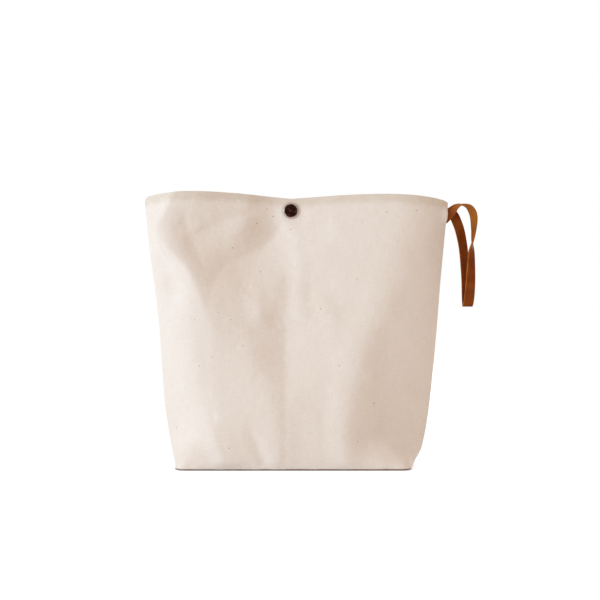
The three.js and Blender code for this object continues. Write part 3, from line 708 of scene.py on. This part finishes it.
def outward(grid, side):
    """The unit normals of a grid of points that face out of the bag."""
    normal = np.cross(np.gradient(grid, axis=0), np.gradient(grid, axis=1)) * -side
    normal[:, 0, 2] = 0
    return normal / np.linalg.norm(normal, axis=-1, keepdims=True)


def rounded(distance, radius):
    """How far a round edge has drawn in at this distance from it."""
    left = radius - np.clip(distance, 0, radius)
    return radius - np.sqrt(radius ** 2 - left ** 2)


def cloth_wall(side, folds, seed):
    """The outer and inner faces of the whole front or back, and the cloth's own coordinates."""
    w, v = np.meshgrid(COLUMNS, ROWS, indexing="ij")
    plain = wall(side, w, v)
    from_seam, from_rim = (1 - abs(w)) * HALF_ARC, (1 - v) * RIM_Z
    for part in (LEFT, RIGHT):
        mine = (w * part["hand"] > 0) * part["hand"] * np.exp(-(from_seam / WANDER_REACH) ** 2)
        plain[..., 0] += mine * np.interp(plain[..., 2], *zip(*part["wander"]))
    x, z = plain[..., 0], plain[..., 2]
    from_stud = np.hypot(x - STUD_X, z - STUD_Z)

    heights = soften(sum(fold_height(x, z, *fold) for fold in folds.values()), 2)
    heights += sum(high * rumple(x, z, size, seed + more) for high, size, more in RUMPLES)
    heights *= (smooth(from_seam / SEAM_CALM) * smooth((from_stud - STUD_FLAT) / STUD_CALM)
                * smooth(z / FOOT_CALM))
    pucker = PUCKER_DEPTH + PUCKER_CHANGE * rumple(x, z * 0, 6, seed)
    pucker *= smooth(1 - abs(from_rim - STITCH_DROP) / PUCKER_REACH)
    heights -= pucker * smooth((from_stud - PUCKER_FROM_STUD) / PUCKER_FADE)

    normal = outward(plain, side)
    outer = plain + normal * heights[..., None]
    normal = outward(outer, side)
    hand = np.sign(w)
    beside_loop = smooth(LOOP_BULGE_TOP - abs(z - LOOP_Z) / LOOP_HALF_HEIGHT) * (w > 0)
    beside_end = beside_loop * np.exp(-(from_seam / LOOP_BULGE_REACH) ** 2)
    outer[..., 1] += side * LOOP_BULGE * beside_end
    outer[..., 0] -= hand * rounded(from_seam, SEAM_ROLL) * (1 - beside_loop)
    outer -= normal * rounded(z, FOOT_ROUND)[..., None]
    outer -= normal * rounded(from_rim, HEM_CLOTH / 2)[..., None]

    thick = CLOTH + (HEM_CLOTH - CLOTH) * smooth((HEM + HEM_EDGE - from_rim) / HEM_EDGE)
    depth = thick - 2 * rounded(from_rim, HEM_CLOTH / 2)
    inner = outer - normal * np.maximum(depth, THINNEST)[..., None]
    gap = SEAM_GAP + (LOOP_BULGE - CLOTH) * beside_end
    for grid in (outer, inner):
        grid[..., 1] = side * np.maximum(side * grid[..., 1], gap)

    steps = np.linalg.norm(np.diff(outer, axis=0), axis=-1)
    across = np.vstack([np.zeros(v.shape[1]), np.cumsum(steps, axis=0)])
    across -= across[len(COLUMNS) // 2]
    rises = np.linalg.norm(np.diff(outer, axis=1), axis=-1)
    up = np.hstack([np.zeros((w.shape[0], 1)), np.cumsum(rises, axis=1)])
    # The hem value tells the canvas where its painted shade goes.
    return {"side": side, "outer": outer, "inner": inner, "normal": normal,
            "hem": smooth((HEM + HEM_BLUR - from_rim) / HEM_SHADE_FADE),
            "cloth": np.stack([across, up, 0 * up], axis=-1)}


WALLS = {"front": cloth_wall(-1, FRONT_FOLDS, FRONT_SEED),
         "back": cloth_wall(1, BACK_FOLDS, BACK_SEED)}

# %% [markdown]
# The walls must follow their hinges: the middle of the front turns with the body called front,
# while its ends stay with the root. Each wall is made in two halves that meet below the stud,
# where the cloth has its pressed middle crease, which hides the join. The halves are not tied to
# those bodies here, so they don't bend with them.

# %% Build a closed sheet
def build(name, points, faces, material, cloth=None, sharp=55):
    """A smooth-shaded mesh object from points in millimetres."""
    mesh = bpy.data.meshes.new(name)
    mesh.from_pydata((np.asarray(points, float) * MM).tolist(), [], faces)
    mesh.materials.append(material)
    mesh.shade_smooth()
    mesh.set_sharp_from_angle(angle=math.radians(sharp))
    if cloth is not None:
        layer = mesh.attributes.new("cloth", "FLOAT_VECTOR", "POINT")
        layer.data.foreach_set("vector", np.asarray(cloth, np.float32).ravel())
    made = bpy.data.objects.new(name, mesh)
    bpy.context.scene.collection.objects.link(made)
    return made


def sheet_faces(columns, rows, flip, closed=False):
    """Faces of two layers of a grid and of the edges that join them."""

    def at(layer, i, j):
        return (layer * columns + i % columns) * rows + j

    faces, last = [], rows - 1
    for i in range(columns if closed else columns - 1):
        k = i + 1
        for j in range(last):
            faces.append((at(0, i, j), at(0, k, j), at(0, k, j + 1), at(0, i, j + 1)))
            faces.append((at(1, i, j), at(1, i, j + 1), at(1, k, j + 1), at(1, k, j)))
        faces.append((at(0, i, 0), at(1, i, 0), at(1, k, 0), at(0, k, 0)))
        faces.append((at(0, i, last), at(0, k, last), at(1, k, last), at(1, i, last)))
    for j in range(0 if closed else last):
        faces.append((at(0, 0, j), at(0, 0, j + 1), at(1, 0, j + 1), at(1, 0, j)))
        faces.append((at(0, -1, j), at(1, -1, j), at(1, -1, j + 1), at(0, -1, j + 1)))
    return [face[::-1] for face in faces] if flip else faces


def two_layers(name, layers, material, cloth, flip=False, closed=False):
    """A closed sheet between two grids of points. cloth(layer) gives the cloth's coordinates."""
    points = np.concatenate([layer.reshape(-1, 3) for layer in layers])
    flat = np.concatenate([cloth(layer).reshape(-1, 3) for layer in layers])
    return build(name, points, sheet_faces(*layers[0].shape[:2], flip, closed), material, flat)


def mark(piece, name, values):
    """Gives each point of a piece a number that its material reads."""
    layer = piece.data.attributes.new(name, "FLOAT", "POINT")
    layer.data.foreach_set("value", values.astype(np.float32))


print("a sheet of 3 by 4 points has", len(sheet_faces(3, 4, flip=False)), "faces")

# %% Cloth pieces of the walls
BLEND_SEAM, BLEND_STUD = 126, 14
# The back's cloth starts this far along, or its flecks would mirror the front's at the seams.
BACK_PATTERN = 500


def follow(piece, grid, hand):
    """Bakes a piece of a wall into place. The body and the ends at seam and stud it works out are
    not used.
    """
    body = "front" if grid["side"] < 0 else "back"
    start = (hand * BLEND_SEAM * MM, 0, 0)
    end = ((STUD_X + hand * BLEND_STUD) * MM, 0, 0)
    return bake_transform(piece)


middle = len(COLUMNS) // 2
HALVES = {"left": (-1, slice(0, middle + 1)), "right": (1, slice(middle, None))}
for name, grid in WALLS.items():
    for label, (hand, half) in HALVES.items():
        flat = grid["cloth"][half] + (BACK_PATTERN * (name == "back"), 0, 0)
        piece = two_layers(f"{name}_cloth_{label}", (grid["outer"][half], grid["inner"][half]),
                           CANVAS, lambda layer: flat, flip=grid["side"] > 0)
        # The hem mark tells the canvas where its painted shade goes.
        mark(piece, "hem", np.tile(grid["hem"][half].ravel(), 2))
        follow(piece, grid, hand)
        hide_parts(f"{name}_wall", f"{name}_hem", f"{label}_end_{name}", f"{label}_hem")
        print(piece.name, len(piece.data.vertices), "points")

# %% [markdown]
# Every shown node of the frame needs a dressed piece. The base comes next: the same canvas, seen
# from inside as the pouch's floor. It is a flat sheet with round corners, slightly uneven on top.

# %% Base
BASE_INSET, BASE_THICK, BASE_ROUND, BASE_EDGE = 1.3, 1.2, 0.5, 0.985
BASE_BUMP, BASE_BUMP_SIZE, BASE_SEED = 0.25, 30, 8.1
SPOKES, RINGS = 160, 26


def base_ring(inset):
    share = np.linspace(0, 1, SPOKES // 4, endpoint=False)
    right = along(base_outline(RIGHT), share)
    left = along(base_outline(LEFT), 1 - share)
    half = np.vstack([right, left])
    whole = np.vstack([half, half[::-1] * (1, -1)])
    scale = 1 - inset / np.array([BASE_LENGTH / 2, BASE_DEPTH / 2])
    return whole * scale


outline = base_ring(BASE_INSET)
share = np.r_[np.linspace(0.02, BASE_EDGE, RINGS), 0.99, 0.995, 1]
plane = outline[:, None, :] * share[None, :, None]
x, y = plane[..., 0], plane[..., 1]
drawn_in = rounded((1 - share) / (1 - BASE_EDGE) * BASE_ROUND, BASE_ROUND)
uneven = BASE_BUMP * rumple(x, y, BASE_BUMP_SIZE, BASE_SEED) * (1 - share)
bottom = np.stack([x, y, drawn_in + 0 * x], axis=-1)
top = np.stack([x, y, BASE_THICK - drawn_in + uneven], axis=-1)
base = two_layers("base_cloth", (bottom, top), LINING, lambda p: p * (1, 1, 0), closed=True)
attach(base, "root")
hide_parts("base_panel")
print("base", np.ptp(plane, axis=(0, 1)).round(1).tolist(), "mm")

# %% [markdown]
# A bag like this is sewn inside out and turned, so its seams end as ribs of raw cloth inside. One
# rib stands in each side seam, and a short one lies over each end of the base where the corner was
# boxed. They are a little wavy, since they were pressed only once, and stitches wrap their raw
# edge. Such a rib is a strip whose edges are rounded, so first come helpers for strips and
# stitches. The rib keeps to where the walls leave it room, which is read from the wall's own grid.

# %% Strips and stitches
OVERLOCK_PITCH, OVERLOCK_STITCH, OVERLOCK_WIRE = 2.6, 3.3, 0.25
OVERLOCK_IN, OVERLOCK_PROUD, OVERLOCK_SLANT = 1.6, 0.02, 0.35


def strip_sheet(rows_of_edges, half, roundness=0.4):
    """Two layers of points for a strip. Each row is a start, an end and the way through it."""
    across = np.r_[0, 0.02, 0.05, np.linspace(0.12, 0.88, 7), 0.95, 0.98, 1]
    outer, inner = [], []
    for start, end, through in rows_of_edges:
        line = start + (end - start) * across[:, None]
        reach = np.linalg.norm(end - start)
        from_edge = np.minimum(across, 1 - across) * reach
        thick = half - rounded(from_edge, roundness) * half / roundness
        outer.append(line + through * thick[:, None])
        inner.append(line - through * thick[:, None])
    return np.array(outer), np.array(inner)


def upright(layer):
    """The cloth's coordinates on a piece that stands up, which are x along it and z up it."""
    return layer[..., [0, 2, 1]]


def unit(v):
    return v / np.linalg.norm(v, axis=-1, keepdims=True)


def stitches(name, places, ways, ups, length, wire):
    """Small round-ended stitches, flat on the cloth. Rings are shares of length and of wire."""
    turns, rings = 8, ((-0.5, 0), (-0.44, 0.62), (-0.3, 1), (0.3, 1), (0.44, 0.62), (0.5, 0))
    angles = np.linspace(0, math.tau, turns, endpoint=False)
    points, faces = [], []
    for place, way, up in zip(*(np.asarray(rows, float) for rows in (places, ways, ups))):
        beside = np.cross(way, up)
        first = len(points)
        for share, width in rings:
            middle_point = place + way * length * share
            if width == 0:
                points.append(middle_point)
                continue
            points.extend(middle_point + wire * width * (beside * math.cos(a) + up * math.sin(a))
                          for a in angles)
        inside = [first + 1 + turns * k for k in range(4)]
        last = first + 1 + turns * 4
        for i in range(turns):
            j = (i + 1) % turns
            faces.append((first, inside[0] + j, inside[0] + i))
            faces.extend((a + i, a + j, a + turns + j, a + turns + i) for a in inside[:3])
            faces.append((last, inside[3] + i, inside[3] + j))
    return build(name, points, faces, THREAD, sharp=80)


def overlock(name, edge_points, inward, through, half):
    """Stitches that wrap a raw edge, slanting on both faces of the strip."""
    steps = np.linalg.norm(np.diff(edge_points, axis=0), axis=1)
    lengths = np.r_[0, np.cumsum(steps)]
    shares = np.arange(OVERLOCK_PITCH, lengths[-1], OVERLOCK_PITCH)
    spots = np.stack([np.interp(shares, lengths, c) for c in edge_points.T], axis=-1)
    go = unit(np.gradient(spots, axis=0))
    places, ways, ups = [], [], []
    for face in (-1, 1):
        places.extend(spots + inward * OVERLOCK_IN + face * through * (half + OVERLOCK_PROUD))
        ways.extend(unit(inward + OVERLOCK_SLANT * go))
        ups.extend(np.broadcast_to(face * through, spots.shape))
    return stitches(name, places, ways, ups, OVERLOCK_STITCH, OVERLOCK_WIRE)


print("an overlock stitch every", OVERLOCK_PITCH, "mm")

# %% Ribs inside the seams
RIB_WIDTH, RIB_HALF, RIB_LOW, RIB_BELOW_HEM = 8, 0.9, 4.4, 1.5
RIB_STEP, RIB_CLEAR, RIB_TUCK, RIB_COLUMNS = 3.0, 0.25, 0.2, 40
RIB_WAVE, RIB_WAVE_LENGTH = 0.5, 31
CORNER_RIB_X, CORNER_RIB_REACH, CORNER_RIB_Z, CORNER_RIB_STEP = 113.6, 32, 1.7, 2.0
CORNER_RIB_UP, CORNER_LIFT, CORNER_WAVE, CORNER_WAVE_LENGTH = 0.15, 0.2, 0.25, 17


def seam_rib(name, node, hand, rows, cloth, flip):
    """A rib of raw cloth on the root, with the stitches that wrap its raw edge."""
    rib = two_layers(name, strip_sheet(rows, RIB_HALF), LINING, cloth, flip)
    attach(rib, "root")
    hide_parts(node)
    raw_edge = np.array([end for start, end, through in rows])
    sewn = overlock(f"{name}_thread", raw_edge, np.array([hand, 0, 0.0]), rows[0][2], RIB_HALF)
    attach(sewn, "root")


for label, (hand, half) in HALVES.items():
    inner = WALLS["front"]["inner"][half][::-hand]
    heights = np.arange(RIB_LOW, inner[0, -1, 2] - HEM - RIB_BELOW_HEM, RIB_STEP)
    rows = []
    for z in heights:
        across = np.array([[np.interp(z, c[:, 2], c[:, 0]), np.interp(z, c[:, 2], c[:, 1])]
                           for c in inner[:RIB_COLUMNS]])
        room = np.maximum.accumulate(-across[:, 1])
        start_x = np.interp(RIB_HALF + RIB_CLEAR, room, across[:, 0]) - hand * RIB_TUCK
        wave = RIB_WAVE * noise.noise(Vector((hand * 9.0, z / RIB_WAVE_LENGTH, 2.0)))
        rows.append((np.array([start_x, 0, z]), np.array([start_x - hand * RIB_WIDTH, wave, z]),
                     np.array([0, 1.0, 0])))
    seam_rib(f"{label}_seam_rib", f"{label}_seam_allowance", hand, rows, upright, flip=hand < 0)

    x, z = hand * CORNER_RIB_X, CORNER_RIB_Z + RIB_HALF + CORNER_RIB_UP
    rows = []
    for y in np.arange(-CORNER_RIB_REACH, CORNER_RIB_REACH + 0.1, CORNER_RIB_STEP):
        wave = CORNER_WAVE * noise.noise(Vector((hand * 5.0, y / CORNER_WAVE_LENGTH, 7.0)))
        lift = CORNER_LIFT + wave
        rows.append((np.array([x, y, z]), np.array([x - hand * RIB_WIDTH, y, z + lift]),
                     np.array([0, 0, 1.0])))
    seam_rib(f"{label}_corner_rib", f"{label}_corner_seam", hand, rows,
             lambda p: p, flip=hand > 0)
    print(label, "rib from", heights[0], "to", heights[-1].round(1), "mm high")

# %% [markdown]
# The hem is held by one row of straight stitches a little above its lower edge, which shows on
# both faces. Each stitch lies in the cloth, so its place and its direction come from the wall's
# grid at that spot.

# %% Hem stitches
STITCH, STITCH_PITCH, STITCH_WIRE = 2.3, 3.1, 0.27
FROM_SEAM, FROM_STUD, STITCH_PROUD = 3, 8.5, 0.06


def on_grid(layer, column, row):
    """The point of a layer at a fractional column and row of its grid."""
    i, j = int(column), int(row)
    s, t = column - i, row - j
    low = layer[i, j] * (1 - s) + layer[min(i + 1, len(layer) - 1), j] * s
    up = layer[i, j + 1] * (1 - s) + layer[min(i + 1, len(layer) - 1), j + 1] * s
    return low * (1 - t) + up * t


def stitch_row(grid, hand):
    """The places, ways and ups of the hem's stitches on one half of a wall, both faces."""
    row = np.interp(1 - STITCH_DROP / RIM_Z, ROWS, np.arange(len(ROWS)))
    lengths = grid["cloth"][:, int(row), 0]
    left, right = (lengths[0] + FROM_SEAM, -FROM_STUD), (FROM_STUD, lengths[-1] - FROM_SEAM)
    spots = np.arange(*(left if hand < 0 else right), STITCH_PITCH)
    places, ways, ups = [], [], []
    for layer, face in (("outer", 1), ("inner", -1)):
        for spot in spots:
            columns = np.interp(spot + np.array([-1, 0, 1]), lengths, np.arange(len(lengths)))
            before, here, after = (on_grid(grid[layer], c, row) for c in columns)
            up = face * on_grid(grid["normal"], columns[1], row)
            places.append(here + up * STITCH_PROUD)
            ways.append(unit(after - before))
            ups.append(unit(up))
    return places, ways, ups


for name, grid in WALLS.items():
    for label, (hand, half) in HALVES.items():
        places, ways, ups = stitch_row(grid, hand)
        sewn = stitches(f"{name}_hem_thread_{label}", places, ways, ups, STITCH, STITCH_WIRE)
        follow(sewn, grid, hand)
        print(sewn.name, len(places), "stitches")

# %% [markdown]
# The press stud is turned and pressed metal, so each of its pieces is a profile spun round the
# stud's axis. The front half has the cap outside and the socket inside, with a ring spring that
# snaps over the ball of the back half's stud. The cap's rolled rim and dished middle catch light
# differently, and so they need real curves rather than a flat disc.

# %% Profiles of the press stud
CAP_FACE = 5.55
# Each profile is a list of radius and distance to the front, from the axis or round a ring.
CAP = [(0, 6.62), (1.6, 6.6), (3.4, 6.55), (4.6, 6.53), (5.3, 6.6), (5.75, 6.83), (6.05, 7.08),
       (6.4, 7.24), (6.8, 7.3), (7.2, 7.22), (7.52, 7.0), (7.72, 6.68), (7.8, 6.3), (7.74, 5.95),
       (7.55, 5.68), (7.3, CAP_FACE), (2.2, CAP_FACE), (2.2, 1.7), (2.0, 1.5), (0, 1.5)]
SOCKET = [(3.5, 1.8), (5.7, 1.8), (6.05, 1.65), (6.2, 1.3), (6.2, 0.3), (6.1, -0.1),
          (5.8, -0.4), (5.4, -0.5), (3.9, -0.5), (3.55, -0.42), (3.3, -0.2), (3.2, 0.1),
          (4.35, 0.12), (4.45, 0.2), (4.45, 1.1), (4.35, 1.18), (3.2, 1.2), (3.25, 1.6)]
BALL = [(0, 1.2), (1.3, 1.18), (2.0, 1.05), (2.45, 0.75), (2.68, 0.4), (2.68, 0.1),
        (2.5, -0.2), (2.25, -0.4), (2.2, -0.6), (2.35, -0.76), (2.7, -0.8), (5.3, -0.82),
        (5.65, -0.95), (5.8, -1.3), (5.65, -1.65), (5.3, -1.8), (0, -1.8)]
POST = [(0, -2.1), (2.2, -2.1), (2.2, -CAP_FACE), (5.6, -CAP_FACE), (5.88, -5.7), (6.0, -6.05),
        (5.88, -6.45), (5.55, -6.78), (5.0, -6.96), (4.2, -7.0), (0, -7.0)]
# Name of the piece, its profile, the frame's node for it, and its body.
STUD = (("stud_cap", CAP, "snap_cap", "front"), ("stud_socket", SOCKET, "snap_socket", "front"),
        ("stud_ball", BALL, "snap_stud", "back"), ("stud_post", POST, "snap_post", "back"))
for name, profile, node, body in STUD:
    print(name, "is", 2 * max(radius for radius, y in profile), "mm across")

# %% Spin the stud
SPIN_STEPS = 96
RUB_RADIUS, RUB_WIDTH, RUB_FRONT = 7.2, 1.3, 0.4


def skin(rings):
    """Faces between each ring of points and the next. No face has the same point twice."""
    faces = []
    for low, high in zip(rings, rings[1:]):
        for i in range(len(low)):
            j = (i + 1) % len(low)
            faces.append(tuple(dict.fromkeys((low[i], low[j], high[j], high[i]))))
    return faces


def spun(name, profile, material):
    """Spins a profile round the stud's axis. Where it starts off the axis, it closes as a ring."""
    points, circles = [], []
    for radius, y in profile:
        if radius == 0:
            circles.append([len(points)] * SPIN_STEPS)
            points.append((STUD_X, -y, STUD_Z))
            continue
        circles.append(range(len(points), len(points) + SPIN_STEPS))
        points.extend((STUD_X + radius * math.sin(a), -y, STUD_Z + radius * math.cos(a))
                      for a in np.linspace(0, math.tau, SPIN_STEPS, endpoint=False))
    if profile[0][0] > 0:
        circles.append(circles[0])
    return build(name, points, skin(circles), material, sharp=35)


for name, profile, node, body in STUD:
    piece = spun(name, profile, STUD_METAL)
    places = np.array([v.co for v in piece.data.vertices]) / MM
    reach = np.hypot(places[:, 0] - STUD_X, places[:, 2] - STUD_Z)
    wear_and_foot_shadow = np.clip(1 - abs(reach - RUB_RADIUS) / RUB_WIDTH, 0, 1)
    mark(piece, "rub", wear_and_foot_shadow * (-places[:, 1] > CAP_FACE + RUB_FRONT))
    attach(piece, body)
    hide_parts(node)
print("stud on the axis x", STUD_X, "z", STUD_Z)

# %% Ring spring
SPRING_RING, SPRING_WIRE, SPRING_MOUTH, SPRING_Y = 3.9, 0.3, 0.7, 0.65
SPRING_STEPS, WIRE_TURNS, WIRE_TIP = 60, 10, 0.7


def tube(name, line, wire, turns, material):
    """A round wire along a line, with blunt tips."""
    line = np.asarray(line, float)
    way = unit(np.gradient(line, axis=0))
    side_way = unit(np.cross(way, (0, 1, 0)))
    up = np.cross(side_way, way)
    points, faces = [], []
    for p, a, b in zip(line, side_way, up):
        points.extend(p + wire * (a * math.cos(t) + b * math.sin(t))
                      for t in np.linspace(0, math.tau, turns, endpoint=False))
    for k in range(len(line) - 1):
        for i in range(turns):
            j = (i + 1) % turns
            faces.append((k * turns + i, (k + 1) * turns + i, (k + 1) * turns + j, k * turns + j))
    for end, order in ((0, 1), (len(line) - 1, -1)):
        points.append(line[end] - way[end] * order * wire * WIRE_TIP)
        for i in range(turns):
            j = (i + 1) % turns
            faces.append((len(points) - 1, end * turns + i, end * turns + j)[::order])
    return build(name, points, faces, material)


turn = np.linspace(SPRING_MOUTH / 2, math.tau - SPRING_MOUTH / 2, SPRING_STEPS)
ring_line = np.stack([STUD_X + SPRING_RING * np.sin(turn), -SPRING_Y + 0 * turn,
                      STUD_Z - SPRING_RING * np.cos(turn)], axis=-1)
spring = tube("stud_spring", ring_line, SPRING_WIRE, WIRE_TURNS, STEEL)
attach(spring, "front")
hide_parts("snap_spring")
print("ring spring", 2 * SPRING_RING, "mm across")

# %% [markdown]
# Behind each half of the stud lies a square patch of the same canvas, sewn on all round, because
# one layer of cloth would tear. It is a wide rib, so it comes from the same helpers.

# %% Patches behind the stud
PATCH_HALF_X, PATCH_HALF_Z, PATCH_TOP, PATCH_THICK = 11, 10, 3.25, 1.05
PATCH_SEWN, PATCH_ROW, PATCH_ROWS = 1.8, 8, 15
PATCH_CORNER, PATCH_ROUND, PATCH_WAVE, PATCH_WAVE_LENGTH = 0.8, 0.35, 0.12, 5
SUNK = 0.02

sewn_x, sewn_z = PATCH_HALF_X - PATCH_SEWN, PATCH_HALF_Z - PATCH_SEWN
for name, grid in WALLS.items():
    side, rows = grid["side"], []
    for z in np.linspace(-PATCH_HALF_Z, PATCH_HALF_Z, PATCH_ROWS):
        half = PATCH_HALF_X - float(rounded(PATCH_HALF_Z - abs(z), PATCH_CORNER))
        lift = PATCH_WAVE * noise.noise(Vector((z / PATCH_WAVE_LENGTH, side * 3.0, 1.0)))
        y = side * (PATCH_TOP - PATCH_THICK / 2 + lift)
        rows.append((np.array([STUD_X - half, y, STUD_Z + z]),
                     np.array([STUD_X + half, y, STUD_Z + z]), np.array([0, 1.0, 0])))
    layers = strip_sheet(rows, PATCH_THICK / 2, PATCH_ROUND)
    patch = two_layers(f"{name}_patch", layers, LINING, upright, flip=True)
    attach(patch, name)
    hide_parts(f"{name}_stud_patch")
    places, ways = [], []
    for k in np.arange(-PATCH_ROW, PATCH_ROW + 0.1, STITCH_PITCH):
        for x, z, way in ((k, sewn_z, (1, 0, 0)), (k, -sewn_z, (1, 0, 0)),
                          (sewn_x, k, (0, 0, 1)), (-sewn_x, k, (0, 0, 1))):
            places.append((STUD_X + x, side * (PATCH_TOP - PATCH_THICK - SUNK), STUD_Z + z))
            ways.append(way)
    ups = np.broadcast_to((0, -side * 1.0, 0), (len(places), 3))
    sewn = stitches(f"{name}_patch_thread", places, ways, ups, STITCH, STITCH_WIRE)
    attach(sewn, name)
    print(patch.name, "held by", len(places), "stitches")

# %% [markdown]
# The wrist loop is one strip of leather, ten millimetres wide, folded in half with both ends
# caught in the side seam. It leaves the seam on edge, one strand turns over an arch and both hang
# face to face down to the fold. A swept section with small round edges shows that turn. Its cut
# edges get the raw finish, which makes the thin light line along the strand.

# %% Course of the strip
LOOP_ROOT_X, SEWN_IN, STRAND = 156.65, 7, 1.05
# Each station is x, y, z of the strip's middle line and x, y, z of the way its width runs.
LOOP = [
    (-SEWN_IN, -STRAND, -5, 0.7, 0, -0.7), (-3.4, -STRAND, -1.2, 0.7, 0, -0.7),
    (0, -STRAND, 2.2, 0.66, -0.3, -0.68), (3, -1.8, 5.4, 0.48, -0.7, -0.48),
    (6.2, -2.8, 8.2, 0.3, -0.9, -0.3), (10.6, -3.8, 9.9, 0.1, -0.98, -0.08),
    (15, -4.4, 9.2, 0.05, -1, 0.1), (19.2, -5.2, 6.4, 0.35, -0.9, 0.3),
    (22.2, -5.8, 0.9, 0.55, -0.8, 0.15), (23.1, -6.2, -6.1, 0.5, -0.87, 0),
    (22.8, -6.3, -16.1, 0.25, -0.97, 0), (21.8, -6.2, -25.6, 0, -1, 0),
    (20.5, -5.9, -38.1, -0.62, -0.78, 0), (20.2, -5.4, -54.6, -0.83, -0.55, 0),
    (19.5, -4.4, -72.6, -0.97, -0.24, 0), (18.5, -3, -84.6, -1, 0, 0),
    (17.7, -1.6, -89.4, -1, 0, 0), (17.4, 0.6, -90.8, -1, 0, 0),
    (17.3, 2.4, -89.2, -1, 0, 0), (17.1, 3.6, -82.6, -0.98, -0.1, 0),
    (16.6, 4.6, -66.6, -0.95, -0.3, 0), (15.1, 4.8, -48.6, -0.87, -0.49, -0.05),
    (13.3, 4.4, -31.0, -0.86, -0.48, -0.18), (10.0, 3.2, -15.4, -0.84, -0.33, -0.42),
    (5.8, 2.4, -4.0, -0.6, -0.2, -0.75), (3.0, 1.5, 0.0, -0.3, 0, -0.95),
    (0, STRAND, 1.0, -0.05, 0, -1), (-3.4, STRAND, 1.2, 0, 0, -1),
    (-SEWN_IN, STRAND, 1.2, 0, 0, -1),
]
print("the loop hangs", -min(station[2] for station in LOOP), "mm below its seam")

# %% Wrist loop
LEATHER_WIDTH, LEATHER_THICK, EDGE_ROUND = 10, 1.8, 0.35
LOOP_STEPS, EDGE_WANDER, WANDER_SIZE = 9, 0.12, 14


def strip_section(width, thick, radius, round_steps=4, face_steps=8):
    """The outline of a strip's section, from one face over its edge to the other and back."""
    w, t = width / 2, thick / 2
    outline = []
    for cx, cy, first in ((w - radius, t - radius, 0), (-w + radius, t - radius, 1),
                          (-w + radius, -t + radius, 2), (w - radius, -t + radius, 3)):
        for k in range(round_steps + 1):
            a = (first + k / round_steps) * math.pi / 2
            outline.append((cx + radius * math.cos(a), cy + radius * math.sin(a)))
        sign = 1 if first == 0 else -1
        if first in (0, 2):
            outline.extend((sign * (w - radius) * (1 - 2 * k / face_steps), sign * t)
                           for k in range(1, face_steps))
    return np.array(outline)


stations = catmull(LOOP, LOOP_STEPS)
line = stations[:, :3] + (LOOP_ROOT_X, 0, LOOP_Z)
way = unit(np.gradient(line, axis=0))
across = unit(stations[:, 3:] - way * (stations[:, 3:] * way).sum(axis=1, keepdims=True))
through = np.cross(way, across)
section = strip_section(LEATHER_WIDTH, LEATHER_THICK, EDGE_ROUND)
wander = EDGE_WANDER * np.array([noise.noise(Vector(p) / WANDER_SIZE) for p in line])
points = (line[:, None] + across[:, None] * (section[None, :, :1] + wander[:, None, None])
          + through[:, None] * section[None, :, 1:])
rings = np.arange(len(line) * len(section)).reshape(len(line), -1).tolist()
faces = skin(rings) + [tuple(rings[0][::-1]), tuple(rings[-1])]

# The strip's cut edges are raw on the front strand, as far as the fold, and at the sewn ends.
beside = abs(section[:, 0] + np.roll(section[:, 0], -1)) / 2
cut = (beside > LEATHER_WIDTH / 2 - EDGE_ROUND).tolist()
fold = int(np.argmin(line[:, 2]))
raw = cut * fold + [False] * len(cut) * (len(line) - 1 - fold) + [True, True]

steps = np.linalg.norm(np.diff(line, axis=0), axis=1)
along_strip = np.r_[0, np.cumsum(steps)] - SEWN_IN
strip = np.stack([np.broadcast_to(along_strip[:, None], points.shape[:2]),
                  np.broadcast_to(section[:, 0], points.shape[:2]), 0 * points[..., 0]], axis=-1)
loop = build("leather_loop", points.reshape(-1, 3), faces, LEATHER, strip.reshape(-1, 3))
loop.data.materials.append(RAW_EDGE)
loop.data.polygons.foreach_set("material_index", [int(edge) for edge in raw])
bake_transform(loop)
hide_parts("wrist_loop", "loop_root")
outside = steps[line[1:, 0] > LOOP_ROOT_X].sum()
print("leather strip", round(steps.sum()), "mm long,", round(outside), "mm outside the seam")
